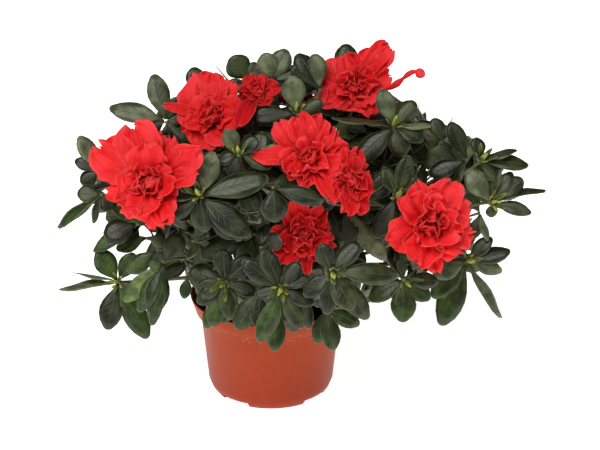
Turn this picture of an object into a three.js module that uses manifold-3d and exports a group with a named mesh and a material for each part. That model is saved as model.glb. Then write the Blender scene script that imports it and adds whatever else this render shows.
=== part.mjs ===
// A pot azalea in bloom: a low, wide evergreen shrub in a thin-walled terracotta-coloured plastic pot.
// A short woody stem stands on the soil and forks into boughs. Each bough ends where its mass of foliage
// begins, and the double red blooms stand on stalks of their own between the masses.
// Millimetres, +Z up. The origin is the middle of the pot's underside and -Y is the front.

import * as THREE from "three";
import { mergeVertices } from "three/addons/utils/BufferGeometryUtils.js";
import Module from "manifold-3d";

const wasm = await Module();
wasm.setup();

const RAD = Math.PI / 180;
const GAP = 0.3; // clearance between pieces that touch on the real plant
const GRIDS = [0.02, 0.03, 0.05, 0.08, 0.12]; // spacings tried for the corners of fused pieces

// The pot: a 12 cm azalea pot, three quarters as high as a full one.
const POT = {
  height: 76,
  rimRadius: 60,
  lipHeight: 13,
  lipFootRadius: 56,
  bodyRadius: 52.5,
  chamferRadius: 46.8,
  chamferHeight: 9,
  footRadius: 42,
  footBevel: { out: 2.6, rise: 3.4 },
  lipStep: 0.8,
  wall: 1.5,
  floor: 5.5,
  feet: 4,
  channel: { height: 4, width: 33 * RAD, innerRadius: 14, bearing: -38.5 * RAD },
  drain: { radius: 4, circle: 28, facets: 12 },
  facets: 40,
};
const SOIL = { top: 67, crown: 2.5, shoulder: 0.5, slack: 0.2, edgeRoom: 1 };

// The trunk leans a little to the right and back, towards the heart of the crown where the boughs part.
const HEART = new THREE.Vector3(6, 2, 96);
const TRUNK = {
  rootRadius: 8.5,
  flareHeight: 5,
  footRadius: 5.6,
  topRadius: 4.2,
  top: 104,
  headRise: 2.5,
  levels: [0, 0.04, 0.08, 0.15, 0.36, 0.65, 1], // shares of the height at which its rings stand
  flute: { depth: 0.12, ribs: 3, height: 12 },
  sides: 12,
};
const BOUGH = {
  rootRadius: 2.3,
  sideRootRadius: 1.8,
  tipRadius: 1.5,
  lowest: 80,
  highest: 99,
  share: 0.46, // of the reach of the mass that it carries
  forkShare: 0.42, // where a side bough leaves its main bough
  trunkRoom: 1.05,
  seat: 0.1,
  stiffness: 0.3,
  sides: 6,
  steps: 5,
};
const STEM = { rootRadius: 1.6, tipRadius: 1, sides: 3, steps: 4, stiffness: 0.38 };
const TWIG = { rootRadius: 0.95, tipRadius: 0.8, sides: 3, steps: 3, stiffness: 0.3 };
const FORK = { first: 0.12, last: 0.85, step: 0.382, tries: 6 };

// The crown: a dome above its widest level, tucked in below it towards the pot's rim.
const CROWN = {
  centre: new THREE.Vector3(22, 0, 150),
  width: 150,
  depth: 120,
  rise: 92,
  drop: 72,
  tuck: 0.45,
  tuckPower: 1.2,
  outward: 0.8, // how far whorls look along the crown's normal
  upward: 0.3, // and how far up
};
const FILL = { seed: 20417, tries: 4000, spacing: 36, lowest: -0.62, depth: 0.42, bloomRoom: 4 };

const LEAF = {
  length: 37,
  width: 19,
  widest: 0.55,
  bluntness: 0.42,
  thickness: 1,
  droop: 0.1,
  lowPitch: 12,
  highPitch: 42,
  pitchSpread: 14,
  steepShare: 0.82, // of the length, for the steeper leaves
  lengthSpread: 0.28,
  widthSpread: 0.24,
};
// How a leaf that doesn't fit is tried again: its turn up or down in degrees and its share of full size.
const TRIALS = [
  [0, 1],
  [-22, 1],
  [20, 1],
  [-42, 1],
  [0, 0.8],
  [-22, 0.8],
  [20, 0.8],
  [-42, 0.8],
  [0, 0.6],
  [-30, 0.6],
];
const CUTS = [1, 0.84, 0.7]; // shares of that size, where a leaf would touch one already placed
const WHORL = { leaves: 8, hubRadius: 2.1, rootHeight: 1.6, budHeight: 7, neck: 2.6, angleSpread: 0.3 };
// Clearances. A leaf may reach over the border of its mass's space by the interlock.
const CLEAR = {
  limb: 3.2,
  twig: 3,
  pot: 2,
  bloom: 1,
  twigBloom: 4,
  border: 3.5,
  twigBorder: 1,
  interlock: 9,
};

// Each mass of foliage is led by one shoot, given by its bearing and pitch from the heart in degrees
// and by its reach. The ones marked main have their bough on the trunk, the others on a main bough.
const MASSES = [
  { name: "front_low", bearing: 271, pitch: 16, reach: 112, main: true },
  { name: "front_low_left", bearing: 244, pitch: 12, reach: 108 },
  { name: "front_low_right", bearing: 294, pitch: 13, reach: 112 },
  { name: "left_low_front", bearing: 226, pitch: 17, reach: 118 },
  { name: "left_low", bearing: 207, pitch: 5, reach: 130, main: true, look: [245, 22] },
  { name: "left", bearing: 190, pitch: 19, reach: 144, look: [232, 18] },
  { name: "right_low", bearing: 343, pitch: 9, reach: 150, main: true, look: [300, 22] },
  { name: "right_low_front", bearing: 320, pitch: 7, reach: 122 },
  { name: "right", bearing: 341, pitch: 25, reach: 174, look: [305, 24] },
  { name: "right_upper", bearing: 344, pitch: 36, reach: 172, look: [310, 48] },
  { name: "mid_left", bearing: 241, pitch: 42, reach: 142, main: true },
  { name: "mid_right", bearing: 308, pitch: 36, reach: 152, main: true },
  { name: "upper_front", bearing: 254, pitch: 57, reach: 144 },
  { name: "upper_left", bearing: 163, pitch: 45, reach: 154, main: true },
  { name: "upper_right", bearing: 338, pitch: 59, reach: 156, main: true },
  { name: "top", bearing: 285, pitch: 80, reach: 145, main: true },
  { name: "top_left", bearing: 122, pitch: 66, reach: 145 },
  { name: "top_right", bearing: 50, pitch: 62, reach: 154 },
  { name: "back_left", bearing: 148, pitch: 16, reach: 138 },
  { name: "back", bearing: 98, pitch: 14, reach: 122, main: true },
  { name: "back_right", bearing: 35, pitch: 17, reach: 148, main: true },
  { name: "back_high", bearing: 84, pitch: 40, reach: 138 },
];

// Each bloom: where it stands, seen from the heart, its radius, and where it looks.
const BLOOMS = [
  { name: "bloom_left", bearing: 213, pitch: 42, reach: 156, radius: 39, look: [243, 36] },
  { name: "bloom_upper_left", bearing: 207, pitch: 66, reach: 152, radius: 29, look: [235, 48] },
  { name: "bloom_top_small", bearing: 262, pitch: 86, reach: 160, radius: 16, look: [290, 60] },
  { name: "bloom_centre", bearing: 279, pitch: 58, reach: 158, radius: 33, look: [255, 46] },
  { name: "bloom_centre_right", bearing: 301, pitch: 45, reach: 156, radius: 22, look: [305, 30] },
  { name: "bloom_top_right", bearing: 2, pitch: 68, reach: 161, radius: 31, look: [262, 40] },
  { name: "bloom_right", bearing: 319, pitch: 27, reach: 166, radius: 35, look: [288, 26] },
  { name: "bloom_low", bearing: 279, pitch: 31, reach: 150, radius: 26, look: [275, 22] },
  { name: "bloom_back", bearing: 110, pitch: 30, reach: 138, radius: 33, look: [110, 35] },
  { name: "bloom_back_left", bearing: 141, pitch: 37, reach: 148, radius: 28, look: [143, 38] },
  { name: "bloom_back_right", bearing: 55, pitch: 34, reach: 156, radius: 32, look: [55, 38] },
  { name: "bloom_back_top", bearing: 75, pitch: 72, reach: 150, radius: 24, look: [85, 60] },
];
const BLOOM = {
  facets: 18,
  cup: 0.36, // depth as a share of the radius
  funnel: 0.95,
  heart: 0.55,
  lobes: 5,
  frill: { depth: 0.06, waves: 9 },
  ruffles: 7,
  halfHeight: 15,
  openFace: { share: 0.8, reach: 50 }, // nothing grows over this much of its face
};
// Its rings of petal edges from the middle outwards, and one underneath: share of the radius, height in
// cups, depth of the lobes, height of the ruffle in cups, and turn of the lobes in half lobes.
const PETAL_RINGS = [
  { share: 0.2, height: 0.72, lobe: 0.1, ruffle: 0.16, turn: 1 },
  { share: 0.46, height: 0.8, lobe: 0.12, ruffle: 0.2, turn: 1 },
  { share: 0.52, height: 0.12, lobe: 0.1, ruffle: 0.05, turn: 0 },
  { share: 0.8, height: 0.2, lobe: 0.1, ruffle: 0.12, turn: 0 },
  { share: 1, height: 0.1, lobe: 0.16, ruffle: 0.3, turn: 0 },
  { share: 0.55, height: -0.5, lobe: 0.02, ruffle: 0, turn: 0 },
];
const STALK = { rootRadius: 1.3, tipRadius: 1.7, sides: 4, steps: 4, stiffness: 0.3, hostShare: 0.82, sink: 0.7 };

const UP = new THREE.Vector3(0, 0, 1);
const vec = (x, y, z) => new THREE.Vector3(x, y, z);
const along = (from, direction, distance) => from.clone().addScaledVector(direction, distance);

// A repeatable stream of numbers from 0 to 1.
function seeded(seed) {
  let state = seed;
  return () => {
    state = (state * 1664525 + 1013904223) % 4294967296;
    return state / 4294967296;
  };
}

function heading(bearing, pitch) {
  const level = Math.cos(pitch * RAD);
  return vec(level * Math.cos(bearing * RAD), level * Math.sin(bearing * RAD), Math.sin(pitch * RAD));
}

const massHeading = (mass) => heading(mass.bearing, mass.pitch);

// Two unit vectors square to an axis and to each other.
function squareTo(axis) {
  const helper = Math.abs(axis.z) < 0.9 ? UP : vec(1, 0, 0);
  const u = new THREE.Vector3().crossVectors(helper, axis).normalize();
  const v = new THREE.Vector3().crossVectors(axis, u);
  return { u, v };
}

function sideways(direction, tangent) {
  return direction.clone().addScaledVector(tangent, -direction.dot(tangent)).normalize();
}

// A smooth limb line from a start and its direction to an end and its direction.
function limbCurve(start, startDirection, end, endDirection, stiffness) {
  const span = start.distanceTo(end) * stiffness;
  return new THREE.CubicBezierCurve3(
    start,
    along(start, startDirection, span),
    along(end, endDirection, -span),
    end,
  );
}

function solidOf(geometry) {
  const plain = geometry.clone();
  plain.deleteAttribute("normal");
  plain.deleteAttribute("uv");
  const merged = mergeVertices(plain, 1e-3);
  return new wasm.Manifold(
    new wasm.Mesh({
      numProp: 3,
      vertProperties: merged.attributes.position.array,
      triVerts: new Uint32Array(merged.index.array),
    }),
  );
}

function solidFrom(points, faces) {
  const geometry = new THREE.BufferGeometry();
  const corners = points.flatMap((p) => [p.x, p.y, p.z]);
  geometry.setAttribute("position", new THREE.Float32BufferAttribute(corners, 3));
  geometry.setIndex(faces.flat());
  return solidOf(geometry);
}

function geometryOf(solid) {
  const mesh = solid.getMesh();
  const geometry = new THREE.BufferGeometry();
  geometry.setAttribute("position", new THREE.BufferAttribute(Float32Array.from(mesh.vertProperties), 3));
  geometry.setIndex(new THREE.BufferAttribute(Uint32Array.from(mesh.triVerts), 1));
  geometry.computeVertexNormals();
  return geometry;
}

// The largest body of a solid once its corners are set on a grid: specks that fusing cuts off are
// dropped and sealed hollows filled.
function bodyOnGrid(solid, grid) {
  const geometry = geometryOf(solid);
  const { position } = geometry.attributes;
  position.array.forEach((value, i) => {
    position.array[i] = Math.round(value / grid) * grid;
  });
  const bodies = solidOf(geometry).decompose();
  return bodies.reduce((best, body) => (body.volume() > best.volume() ? body : best));
}

// True where no edge is shared by more than two faces.
function isSimple(solid) {
  const { index } = mergeVertices(geometryOf(solid).deleteAttribute("normal"), 1e-3);
  const seen = new Set();
  for (let i = 0; i < index.count; i++) {
    const next = i % 3 === 2 ? i - 2 : i + 1;
    const edge = index.getX(i) + "," + index.getX(next);
    if (seen.has(edge)) return false;
    seen.add(edge);
  }
  return true;
}

// A fused solid as one clean body, on the finest grid that gives one.
function wholeOf(fused) {
  for (const grid of GRIDS) {
    const solid = bodyOnGrid(bodyOnGrid(fused, grid), grid);
    if (solid.decompose().length === 1 && isSimple(solid)) return solid;
  }
  throw new Error("a fused solid stays in pieces or pinched");
}

// The rings of a tapering tube, from its root to its tip, carried backwards from the tip's own frame so
// that nothing twists on the way.
function tubeRings(curve, steps, sides, rootRadius, tipRadius, tipFrame) {
  const rings = [];
  let u = tipFrame.u;
  for (let i = steps; i >= 0; i--) {
    const t = i / steps;
    const tangent = curve.getTangent(t);
    u = sideways(u, tangent);
    const v = new THREE.Vector3().crossVectors(tangent, u);
    const radius = THREE.MathUtils.lerp(rootRadius, tipRadius, t);
    const centre = curve.getPoint(t);
    const ring = [];
    for (let k = 0; k < sides; k++) {
      const angle = (k / sides) * 2 * Math.PI;
      ring.push(along(along(centre, u, radius * Math.cos(angle)), v, radius * Math.sin(angle)));
    }
    rings.unshift(ring);
  }
  return rings;
}

// Side walls and root cap of a tube; its tip stays open for what is built on it.
function addTube(points, faces, rings) {
  const sides = rings[0].length;
  const first = points.length;
  points.push(...rings.flat());
  for (let r = 0; r < rings.length - 1; r++) {
    for (let k = 0; k < sides; k++) {
      const a = first + r * sides + k;
      const b = first + r * sides + ((k + 1) % sides);
      faces.push([a, b, b + sides], [a, b + sides, a + sides]);
    }
  }
  for (let k = 1; k < sides - 1; k++) faces.push([first, first + k + 1, first + k]);
  return first + (rings.length - 1) * sides;
}

function limbSolid(curve, { rootRadius, tipRadius, sides, steps }) {
  const points = [];
  const faces = [];
  const rings = tubeRings(curve, steps, sides, rootRadius, tipRadius, squareTo(curve.getTangent(1)));
  const tip = addTube(points, faces, rings);
  for (let k = 1; k < sides - 1; k++) faces.push([tip, tip + k, tip + k + 1]);
  return solidFrom(points, faces);
}

function potSolid() {
  const { wall, floor } = POT;
  const lipBottom = POT.height - POT.lipHeight;
  const profile = [
    [0, 0],
    [POT.footRadius, 0],
    [POT.footRadius + POT.footBevel.out, POT.footBevel.rise],
    [POT.chamferRadius, POT.chamferHeight],
    [POT.bodyRadius, lipBottom],
    [POT.lipFootRadius, lipBottom + POT.lipStep],
    [POT.rimRadius, POT.height],
    [POT.rimRadius - wall, POT.height],
    [POT.lipFootRadius - wall, lipBottom + 2 * POT.lipStep],
    [POT.bodyRadius - wall, lipBottom],
    [POT.chamferRadius - wall, POT.chamferHeight],
    [POT.footRadius, floor],
    [0, floor],
  ].map(([x, y]) => new THREE.Vector2(x, y));
  const turned = new THREE.LatheGeometry(profile, POT.facets).rotateX(Math.PI / 2);
  let pot = solidOf(turned);
  // Wide notches in the foot let water away under the drain holes.
  const { channel, drain } = POT;
  const wedge = new THREE.Shape();
  const corner = (radius, side) => [
    radius * Math.cos(channel.width / 2),
    side * radius * Math.sin(channel.width / 2),
  ];
  wedge.moveTo(...corner(channel.innerRadius, -1));
  wedge.lineTo(...corner(POT.rimRadius, -1));
  wedge.lineTo(...corner(POT.rimRadius, 1));
  wedge.lineTo(...corner(channel.innerRadius, 1));
  for (let k = 0; k < POT.feet; k++) {
    const bearing = channel.bearing + (k / POT.feet) * 2 * Math.PI;
    const notch = new THREE.ExtrudeGeometry(wedge, { depth: 2 * channel.height, bevelEnabled: false });
    notch.translate(0, 0, -channel.height).rotateZ(bearing);
    const hole = new THREE.CylinderGeometry(drain.radius, drain.radius, 3 * floor, drain.facets);
    hole.rotateX(Math.PI / 2).translate(drain.circle, 0, floor).rotateZ(bearing);
    pot = pot.subtract(solidOf(notch)).subtract(solidOf(hole));
  }
  return pot;
}

// The potting mix that fills the pot to just below its rim, a little domed.
function soilSolid() {
  const clear = POT.wall + GAP + SOIL.slack;
  const lipBottom = POT.height - POT.lipHeight;
  const rise = (SOIL.top - lipBottom) / POT.lipHeight;
  const lipRadius = THREE.MathUtils.lerp(POT.lipFootRadius, POT.rimRadius, rise);
  const edge = lipRadius - clear - SOIL.edgeRoom;
  const profile = [
    [0, POT.floor + GAP],
    [POT.footRadius - SOIL.edgeRoom, POT.floor + GAP],
    [POT.chamferRadius - clear, POT.chamferHeight + SOIL.edgeRoom],
    [POT.bodyRadius - clear, lipBottom],
    [edge, SOIL.top],
    [edge * SOIL.shoulder, SOIL.top + SOIL.crown * (1 - SOIL.shoulder ** 2)],
    [0, SOIL.top + SOIL.crown],
  ].map(([x, y]) => new THREE.Vector2(x, y));
  return solidOf(new THREE.LatheGeometry(profile, POT.facets).rotateX(Math.PI / 2));
}

const soilTop = SOIL.top + SOIL.crown + GAP;
const trunkFoot = vec(0, 0, soilTop);
const trunkHead = along(HEART, UP, TRUNK.top - HEART.z);
const trunkAxis = (height) => trunkFoot.clone().lerp(trunkHead, (height - soilTop) / (TRUNK.top - soilTop));

function trunkRadius(height) {
  const flareTop = soilTop + TRUNK.flareHeight;
  if (height < flareTop) {
    const share = (height - soilTop) / TRUNK.flareHeight;
    return THREE.MathUtils.lerp(TRUNK.rootRadius, TRUNK.footRadius, Math.sqrt(share));
  }
  return THREE.MathUtils.lerp(TRUNK.footRadius, TRUNK.topRadius, (height - flareTop) / (TRUNK.top - flareTop));
}

// Rings of the trunk stay level, so that its foot is a flat cut at the soil.
function trunkSolid() {
  const { flute } = TRUNK;
  const rings = TRUNK.levels.map((level) => {
    const height = THREE.MathUtils.lerp(soilTop, TRUNK.top, level);
    const centre = trunkAxis(height);
    const ribs = flute.depth * Math.max(0, 1 - (height - soilTop) / flute.height);
    const ring = [];
    for (let k = 0; k < TRUNK.sides; k++) {
      const angle = (k / TRUNK.sides) * 2 * Math.PI;
      const radius = trunkRadius(height) * (1 + ribs * Math.cos(flute.ribs * angle));
      ring.push(vec(centre.x + radius * Math.cos(angle), centre.y + radius * Math.sin(angle), height));
    }
    return ring;
  });
  const points = [];
  const faces = [];
  const tip = addTube(points, faces, rings);
  const head = points.push(along(trunkAxis(TRUNK.top), UP, TRUNK.headRise)) - 1;
  for (let k = 0; k < TRUNK.sides; k++) faces.push([head, tip + k, tip + ((k + 1) % TRUNK.sides)]);
  return solidFrom(points, faces);
}

// The mass whose leading shoot points most nearly along a direction from the heart.
function nearestMass(masses, way) {
  const nearness = (mass) => massHeading(mass).dot(way);
  return masses.reduce((best, mass) => (nearness(mass) > nearness(best) ? mass : best));
}

// A point beside a bough, clear of it by the gap, for whatever leaves it there towards a target.
function besideBough(bough, share, target) {
  const at = bough.curve.getPoint(share);
  const out = sideways(target.clone().sub(at), bough.curve.getTangent(share));
  const radius = THREE.MathUtils.lerp(bough.rootRadius, bough.tipRadius, share);
  return { start: along(at, out, radius + GAP + BOUGH.seat), out };
}

// Main boughs leave the trunk one above the other, the flattest lowest. The others leave the main bough
// that points most nearly their way.
function growBoughs() {
  const boughs = new Map();
  const mains = MASSES.filter((m) => m.main).sort((a, b) => a.pitch - b.pitch);
  const tipOf = (mass) => along(HEART, massHeading(mass), mass.reach * BOUGH.share);
  const grow = (mass, start, out, rootRadius) => {
    const curve = limbCurve(start, out, tipOf(mass), massHeading(mass), BOUGH.stiffness);
    boughs.set(mass.name, { curve, rootRadius, tipRadius: BOUGH.tipRadius });
  };
  mains.forEach((mass, rank) => {
    const height = THREE.MathUtils.lerp(BOUGH.lowest, BOUGH.highest, rank / (mains.length - 1));
    const out = heading(mass.bearing, 0);
    const room = BOUGH.trunkRoom * trunkRadius(height - BOUGH.rootRadius) + GAP;
    grow(mass, along(trunkAxis(height), out, room), out, BOUGH.rootRadius);
  });
  MASSES.filter((m) => !m.main).forEach((mass) => {
    const parent = boughs.get(nearestMass(mains, massHeading(mass)).name);
    const { start, out } = besideBough(parent, BOUGH.forkShare, tipOf(mass));
    grow(mass, start, out, BOUGH.sideRootRadius);
  });
  return boughs;
}

// The edge of one whorl of petals: lobed, frilled and ruffled.
function petalRing(bloom, ring, phase, lobePhase) {
  const { facets, frill, lobes } = BLOOM;
  const axis = heading(...bloom.look);
  const { u, v } = squareTo(axis);
  const made = [];
  for (let k = 0; k < facets; k++) {
    const angle = (k / facets) * 2 * Math.PI;
    const lobe = Math.abs(Math.cos((lobes * angle + ring.turn * Math.PI) / 2 + lobePhase));
    const fringe = frill.depth * ring.share * Math.sin(frill.waves * angle + phase);
    const radius = bloom.radius * ring.share * (1 - ring.lobe * (1 - lobe) + fringe);
    const wave = ring.ruffle * Math.sin(BLOOM.ruffles * angle + phase);
    const flat = along(along(bloom.at, u, radius * Math.cos(angle)), v, radius * Math.sin(angle));
    made.push(along(flat, axis, bloom.radius * BLOOM.cup * (ring.height + wave)));
  }
  return made;
}

// A double bloom: a lobed, cupped dish of outer petals with a raised, frilled whorl of inner ones,
// fused to the stalk that carries it.
function bloomSolid(bloom, stalk) {
  const { facets } = BLOOM;
  const axis = heading(...bloom.look);
  const depth = bloom.radius * BLOOM.cup;
  const random = seeded(Math.round(bloom.bearing * 100 + bloom.radius));
  const phases = PETAL_RINGS.map(() => random() * 2 * Math.PI);
  const lobePhase = phases[phases.length - 1];
  const rings = PETAL_RINGS.map((ring, i) => petalRing(bloom, ring, phases[i], lobePhase)).reverse();
  const points = [along(bloom.at, axis, -depth * BLOOM.funnel), along(bloom.at, axis, depth * BLOOM.heart)];
  points.push(...rings.flat());
  const faces = [];
  const last = 2 + (rings.length - 1) * facets;
  for (let k = 0; k < facets; k++) {
    const next = (k + 1) % facets;
    faces.push([0, 2 + next, 2 + k], [1, last + k, last + next]);
    for (let r = 0; r < rings.length - 1; r++) {
      const a = 2 + r * facets;
      faces.push([a + k, a + next, a + facets + next], [a + k, a + facets + next, a + facets + k]);
    }
  }
  return solidFrom(points, faces).add(limbSolid(stalk, STALK));
}

// The stalk leaves the bough whose mass the bloom stands in.
function growStalk(bloom, boughs) {
  const host = boughs.get(nearestMass(MASSES, bloom.at.clone().sub(HEART)).name);
  const { start, out } = besideBough(host, STALK.hostShare, bloom.at);
  const axis = heading(...bloom.look);
  const end = along(bloom.at, axis, -bloom.radius * BLOOM.cup * STALK.sink);
  return limbCurve(start, out, end, axis, STALK.stiffness);
}

// The crown's surface at a height share h, from -1 at the lowest to 1 at the top, and a bearing.
function crownPoint(h, bearing, share) {
  const spread = h > 0 ? Math.sqrt(1 - h * h) : 1 - CROWN.tuck * Math.pow(-h, CROWN.tuckPower);
  return vec(
    CROWN.centre.x + CROWN.width * spread * share * Math.cos(bearing),
    CROWN.centre.y + CROWN.depth * spread * share * Math.sin(bearing),
    CROWN.centre.z + (h > 0 ? CROWN.rise : CROWN.drop) * h * share,
  );
}

// Whorls look outward from the crown and a little up.
function crownFacing(point) {
  const from = point.clone().sub(CROWN.centre);
  const normal = vec(from.x / CROWN.width ** 2, from.y / CROWN.depth ** 2, from.z / CROWN.rise ** 2);
  return normal.normalize().multiplyScalar(CROWN.outward).addScaledVector(UP, CROWN.upward).normalize();
}

// True where a point is within some room of a bloom, or in front of its face.
function nearBloom(point, room) {
  const { halfHeight, openFace } = BLOOM;
  return BLOOMS.some((bloom) => {
    const from = point.clone().sub(bloom.at);
    const height = from.dot(heading(...bloom.look));
    const flat = Math.sqrt(Math.max(0, from.lengthSq() - height * height));
    if (height > 0 && height < openFace.reach && flat < openFace.share * bloom.radius) return true;
    return (flat / (bloom.radius + room)) ** 2 + (height / (halfHeight + room)) ** 2 < 1;
  });
}

// Where the leaf whorls sit: the leading shoot of each mass, then as many more over the crown as keep
// their distance from one another and from the blooms.
function scatterWhorls() {
  const random = seeded(FILL.seed);
  const whorls = MASSES.map((mass) => ({
    mass,
    lead: true,
    look: mass.look,
    at: along(HEART, massHeading(mass), mass.reach),
  }));
  for (let i = 0; i < FILL.tries; i++) {
    const h = FILL.lowest + (1 - FILL.lowest) * random();
    const bearing = 2 * Math.PI * random();
    const at = crownPoint(h, bearing, 1 - FILL.depth * random() ** 2);
    if (whorls.some((w) => w.at.distanceTo(at) < FILL.spacing)) continue;
    if (nearBloom(at, FILL.bloomRoom)) continue;
    const mass = nearestMass(MASSES, at.clone().sub(HEART));
    if (borderRoom(mass, at) < CLEAR.border) continue;
    whorls.push({ mass, lead: false, at });
  }
  return whorls.map((whorl, index) => ({
    ...whorl,
    random: seeded(FILL.seed + 7 * index + 1),
    facing: whorl.look ? heading(...whorl.look) : crownFacing(whorl.at),
  }));
}

// Room from a point to the border of its mass's space, a wedge of the crown about its leading shoot.
function borderRoom(mass, point) {
  const from = point.clone().sub(HEART);
  const rooms = MASSES.filter((other) => other !== mass).map((other) => {
    return from.dot(massHeading(mass).sub(massHeading(other)).normalize());
  });
  return Math.min(...rooms);
}

// Points spaced evenly over each piece of a line.
function spaced(line, perPiece) {
  return line.slice(1).flatMap((end, i) => {
    const piece = [];
    for (let s = 0; s < perPiece; s++) piece.push(line[i].clone().lerp(end, s / perPiece));
    return [...piece, end];
  });
}

function distanceToLine(point, line) {
  let least = Infinity;
  for (let i = 0; i < line.length - 1; i++) {
    const step = line[i + 1].clone().sub(line[i]);
    const share = THREE.MathUtils.clamp(point.clone().sub(line[i]).dot(step) / step.lengthSq(), 0, 1);
    least = Math.min(least, along(line[i], step, share).distanceTo(point));
  }
  return least;
}

// True where a point is clear of the pot, of every bloom and of the lines given.
function isClear(point, lines, room, bloomRoom) {
  const flat = Math.hypot(point.x, point.y);
  if (point.z < POT.height + CLEAR.pot && flat < POT.rimRadius + CLEAR.pot) return false;
  if (nearBloom(point, bloomRoom)) return false;
  return lines.every((line) => distanceToLine(point, line) > room);
}

// The hub of a whorl is a ring of corners round the end of its shoot, one between each two leaves.
function whorlHub({ at, facing, random }) {
  const { u, v } = squareTo(facing);
  const outward = (angle) => u.clone().multiplyScalar(Math.cos(angle)).addScaledVector(v, Math.sin(angle));
  const turn = random() * 2 * Math.PI;
  const angles = [];
  for (let k = 0; k < WHORL.leaves; k++) {
    const jitter = WHORL.angleSpread * (random() - 0.5);
    angles.push(turn + ((k + jitter) / WHORL.leaves) * 2 * Math.PI);
  }
  const ring = angles.map((angle, k) => {
    const next = k + 1 < angles.length ? angles[k + 1] : angles[0] + 2 * Math.PI;
    return along(at, outward((angle + next) / 2), WHORL.hubRadius);
  });
  return { frame: { u, v }, outward, angles, ring };
}

// The faces of a leaf from its hub corners a and b: a blunt blade, raised along the midrib.
function leafFaces(a, b, first) {
  const [root, ridge, right, left, endRight, endLeft] = [0, 1, 2, 3, 4, 5].map((k) => first + k);
  return [
    [root, a, right],
    [root, left, b],
    [root, right, ridge],
    [root, ridge, left],
    [ridge, right, endRight],
    [ridge, endRight, endLeft],
    [ridge, endLeft, left],
    [a, b, left],
    [a, left, right],
    [right, left, endLeft],
    [right, endLeft, endRight],
  ];
}

function leafPoints(whorl, hub, angle, pitch, width, length) {
  const out = hub.outward(angle);
  const side = new THREE.Vector3().crossVectors(whorl.facing, out);
  const run = out.clone().multiplyScalar(Math.cos(pitch)).addScaledVector(whorl.facing, Math.sin(pitch));
  const lift = new THREE.Vector3().crossVectors(run, side);
  const base = along(whorl.at, out, WHORL.hubRadius);
  const middle = along(base, run, length * LEAF.widest);
  const end = along(along(base, run, length), lift, -LEAF.droop * length);
  const blunt = (width / 2) * LEAF.bluntness;
  return [
    along(base, whorl.facing, WHORL.rootHeight),
    along(along(base, run, length * 0.5), lift, LEAF.thickness),
    along(middle, side, -width / 2),
    along(middle, side, width / 2),
    along(end, side, -blunt),
    along(end, side, blunt),
  ];
}

// True where a leaf keeps to its mass's space and clear of the limbs, the blooms and the pot.
function leafFits(mass, [root, , right, left, endRight, endLeft], lines) {
  if (![right, left, endRight, endLeft].every((p) => borderRoom(mass, p) >= -CLEAR.interlock)) return false;
  const outline = [[root, right, endRight], [root, left, endLeft]];
  return outline.flatMap((line) => spaced(line, 4)).every((p) => isClear(p, lines, CLEAR.limb, CLEAR.bloom));
}

// Leaves set round the hub, every other one steeper. A leaf that doesn't fit turns down or up and is
// tried again, then shorter; one that would still touch what is placed already is left out.
function whorlLeaves(whorl, hub, lines, placed) {
  const { random } = whorl;
  return hub.angles.map((angle, k) => {
    const steep = k % 2 === 1;
    const spread = (range) => range * (random() - 0.5);
    const pitch = (steep ? LEAF.highPitch : LEAF.lowPitch) + spread(LEAF.pitchSpread);
    const full = LEAF.length * (steep ? LEAF.steepShare : 1) * (1 + spread(LEAF.lengthSpread));
    const width = LEAF.width * (1 + spread(LEAF.widthSpread));
    const points = (turn, share) => {
      return leafPoints(whorl, hub, angle, (pitch + turn) * RAD, width * Math.sqrt(share), full * share);
    };
    const [turn, share] = TRIALS.find((trial) => leafFits(whorl.mass, points(...trial), lines)) ?? [];
    if (share === undefined) return null;
    const a = hub.ring[(k + hub.ring.length - 1) % hub.ring.length];
    const b = hub.ring[k];
    for (const cut of CUTS) {
      const tried = points(turn, share * cut);
      const solid = solidFrom([a, b, ...tried], [...leafFaces(0, 1, 2), [0, 2, 1]]);
      if (placed.some((other) => other.minGap(solid, GAP) < GAP)) continue;
      return { points: tried, solid };
    }
    return null;
  });
}

// A shoot is one closed shell: a three-sided twig, the hub at its end, a bud, and the leaves.
function shootSolid({ curve, size, whorl, hub }, leaves) {
  const points = [];
  const faces = [];
  const rings = tubeRings(curve, size.steps, size.sides, size.rootRadius, size.tipRadius, hub.frame);
  const tube = addTube(points, faces, rings);
  const ring = points.length;
  points.push(...hub.ring);
  const bud = points.push(along(whorl.at, whorl.facing, WHORL.budHeight)) - 1;
  const count = leaves.length;
  const nearest = (angle) => {
    const share = (((angle / (2 * Math.PI)) % 1) + 1) % 1;
    return Math.round(share * size.sides) % size.sides;
  };
  leaves.forEach((leaf, k) => {
    const a = ring + ((k + count - 1) % count);
    const b = ring + k;
    if (leaf) {
      const root = points.length;
      points.push(...leaf.points);
      faces.push([bud, a, root], [bud, root, b], ...leafFaces(a, b, root));
    } else {
      faces.push([bud, a, b]);
    }
    const corner = nearest(hub.angles[k]);
    const after = nearest(hub.angles[(k + 1) % count]);
    faces.push([b, a, tube + corner]);
    if (after !== corner) faces.push([b, tube + corner, tube + after]);
  });
  return solidFrom(points, faces);
}

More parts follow.
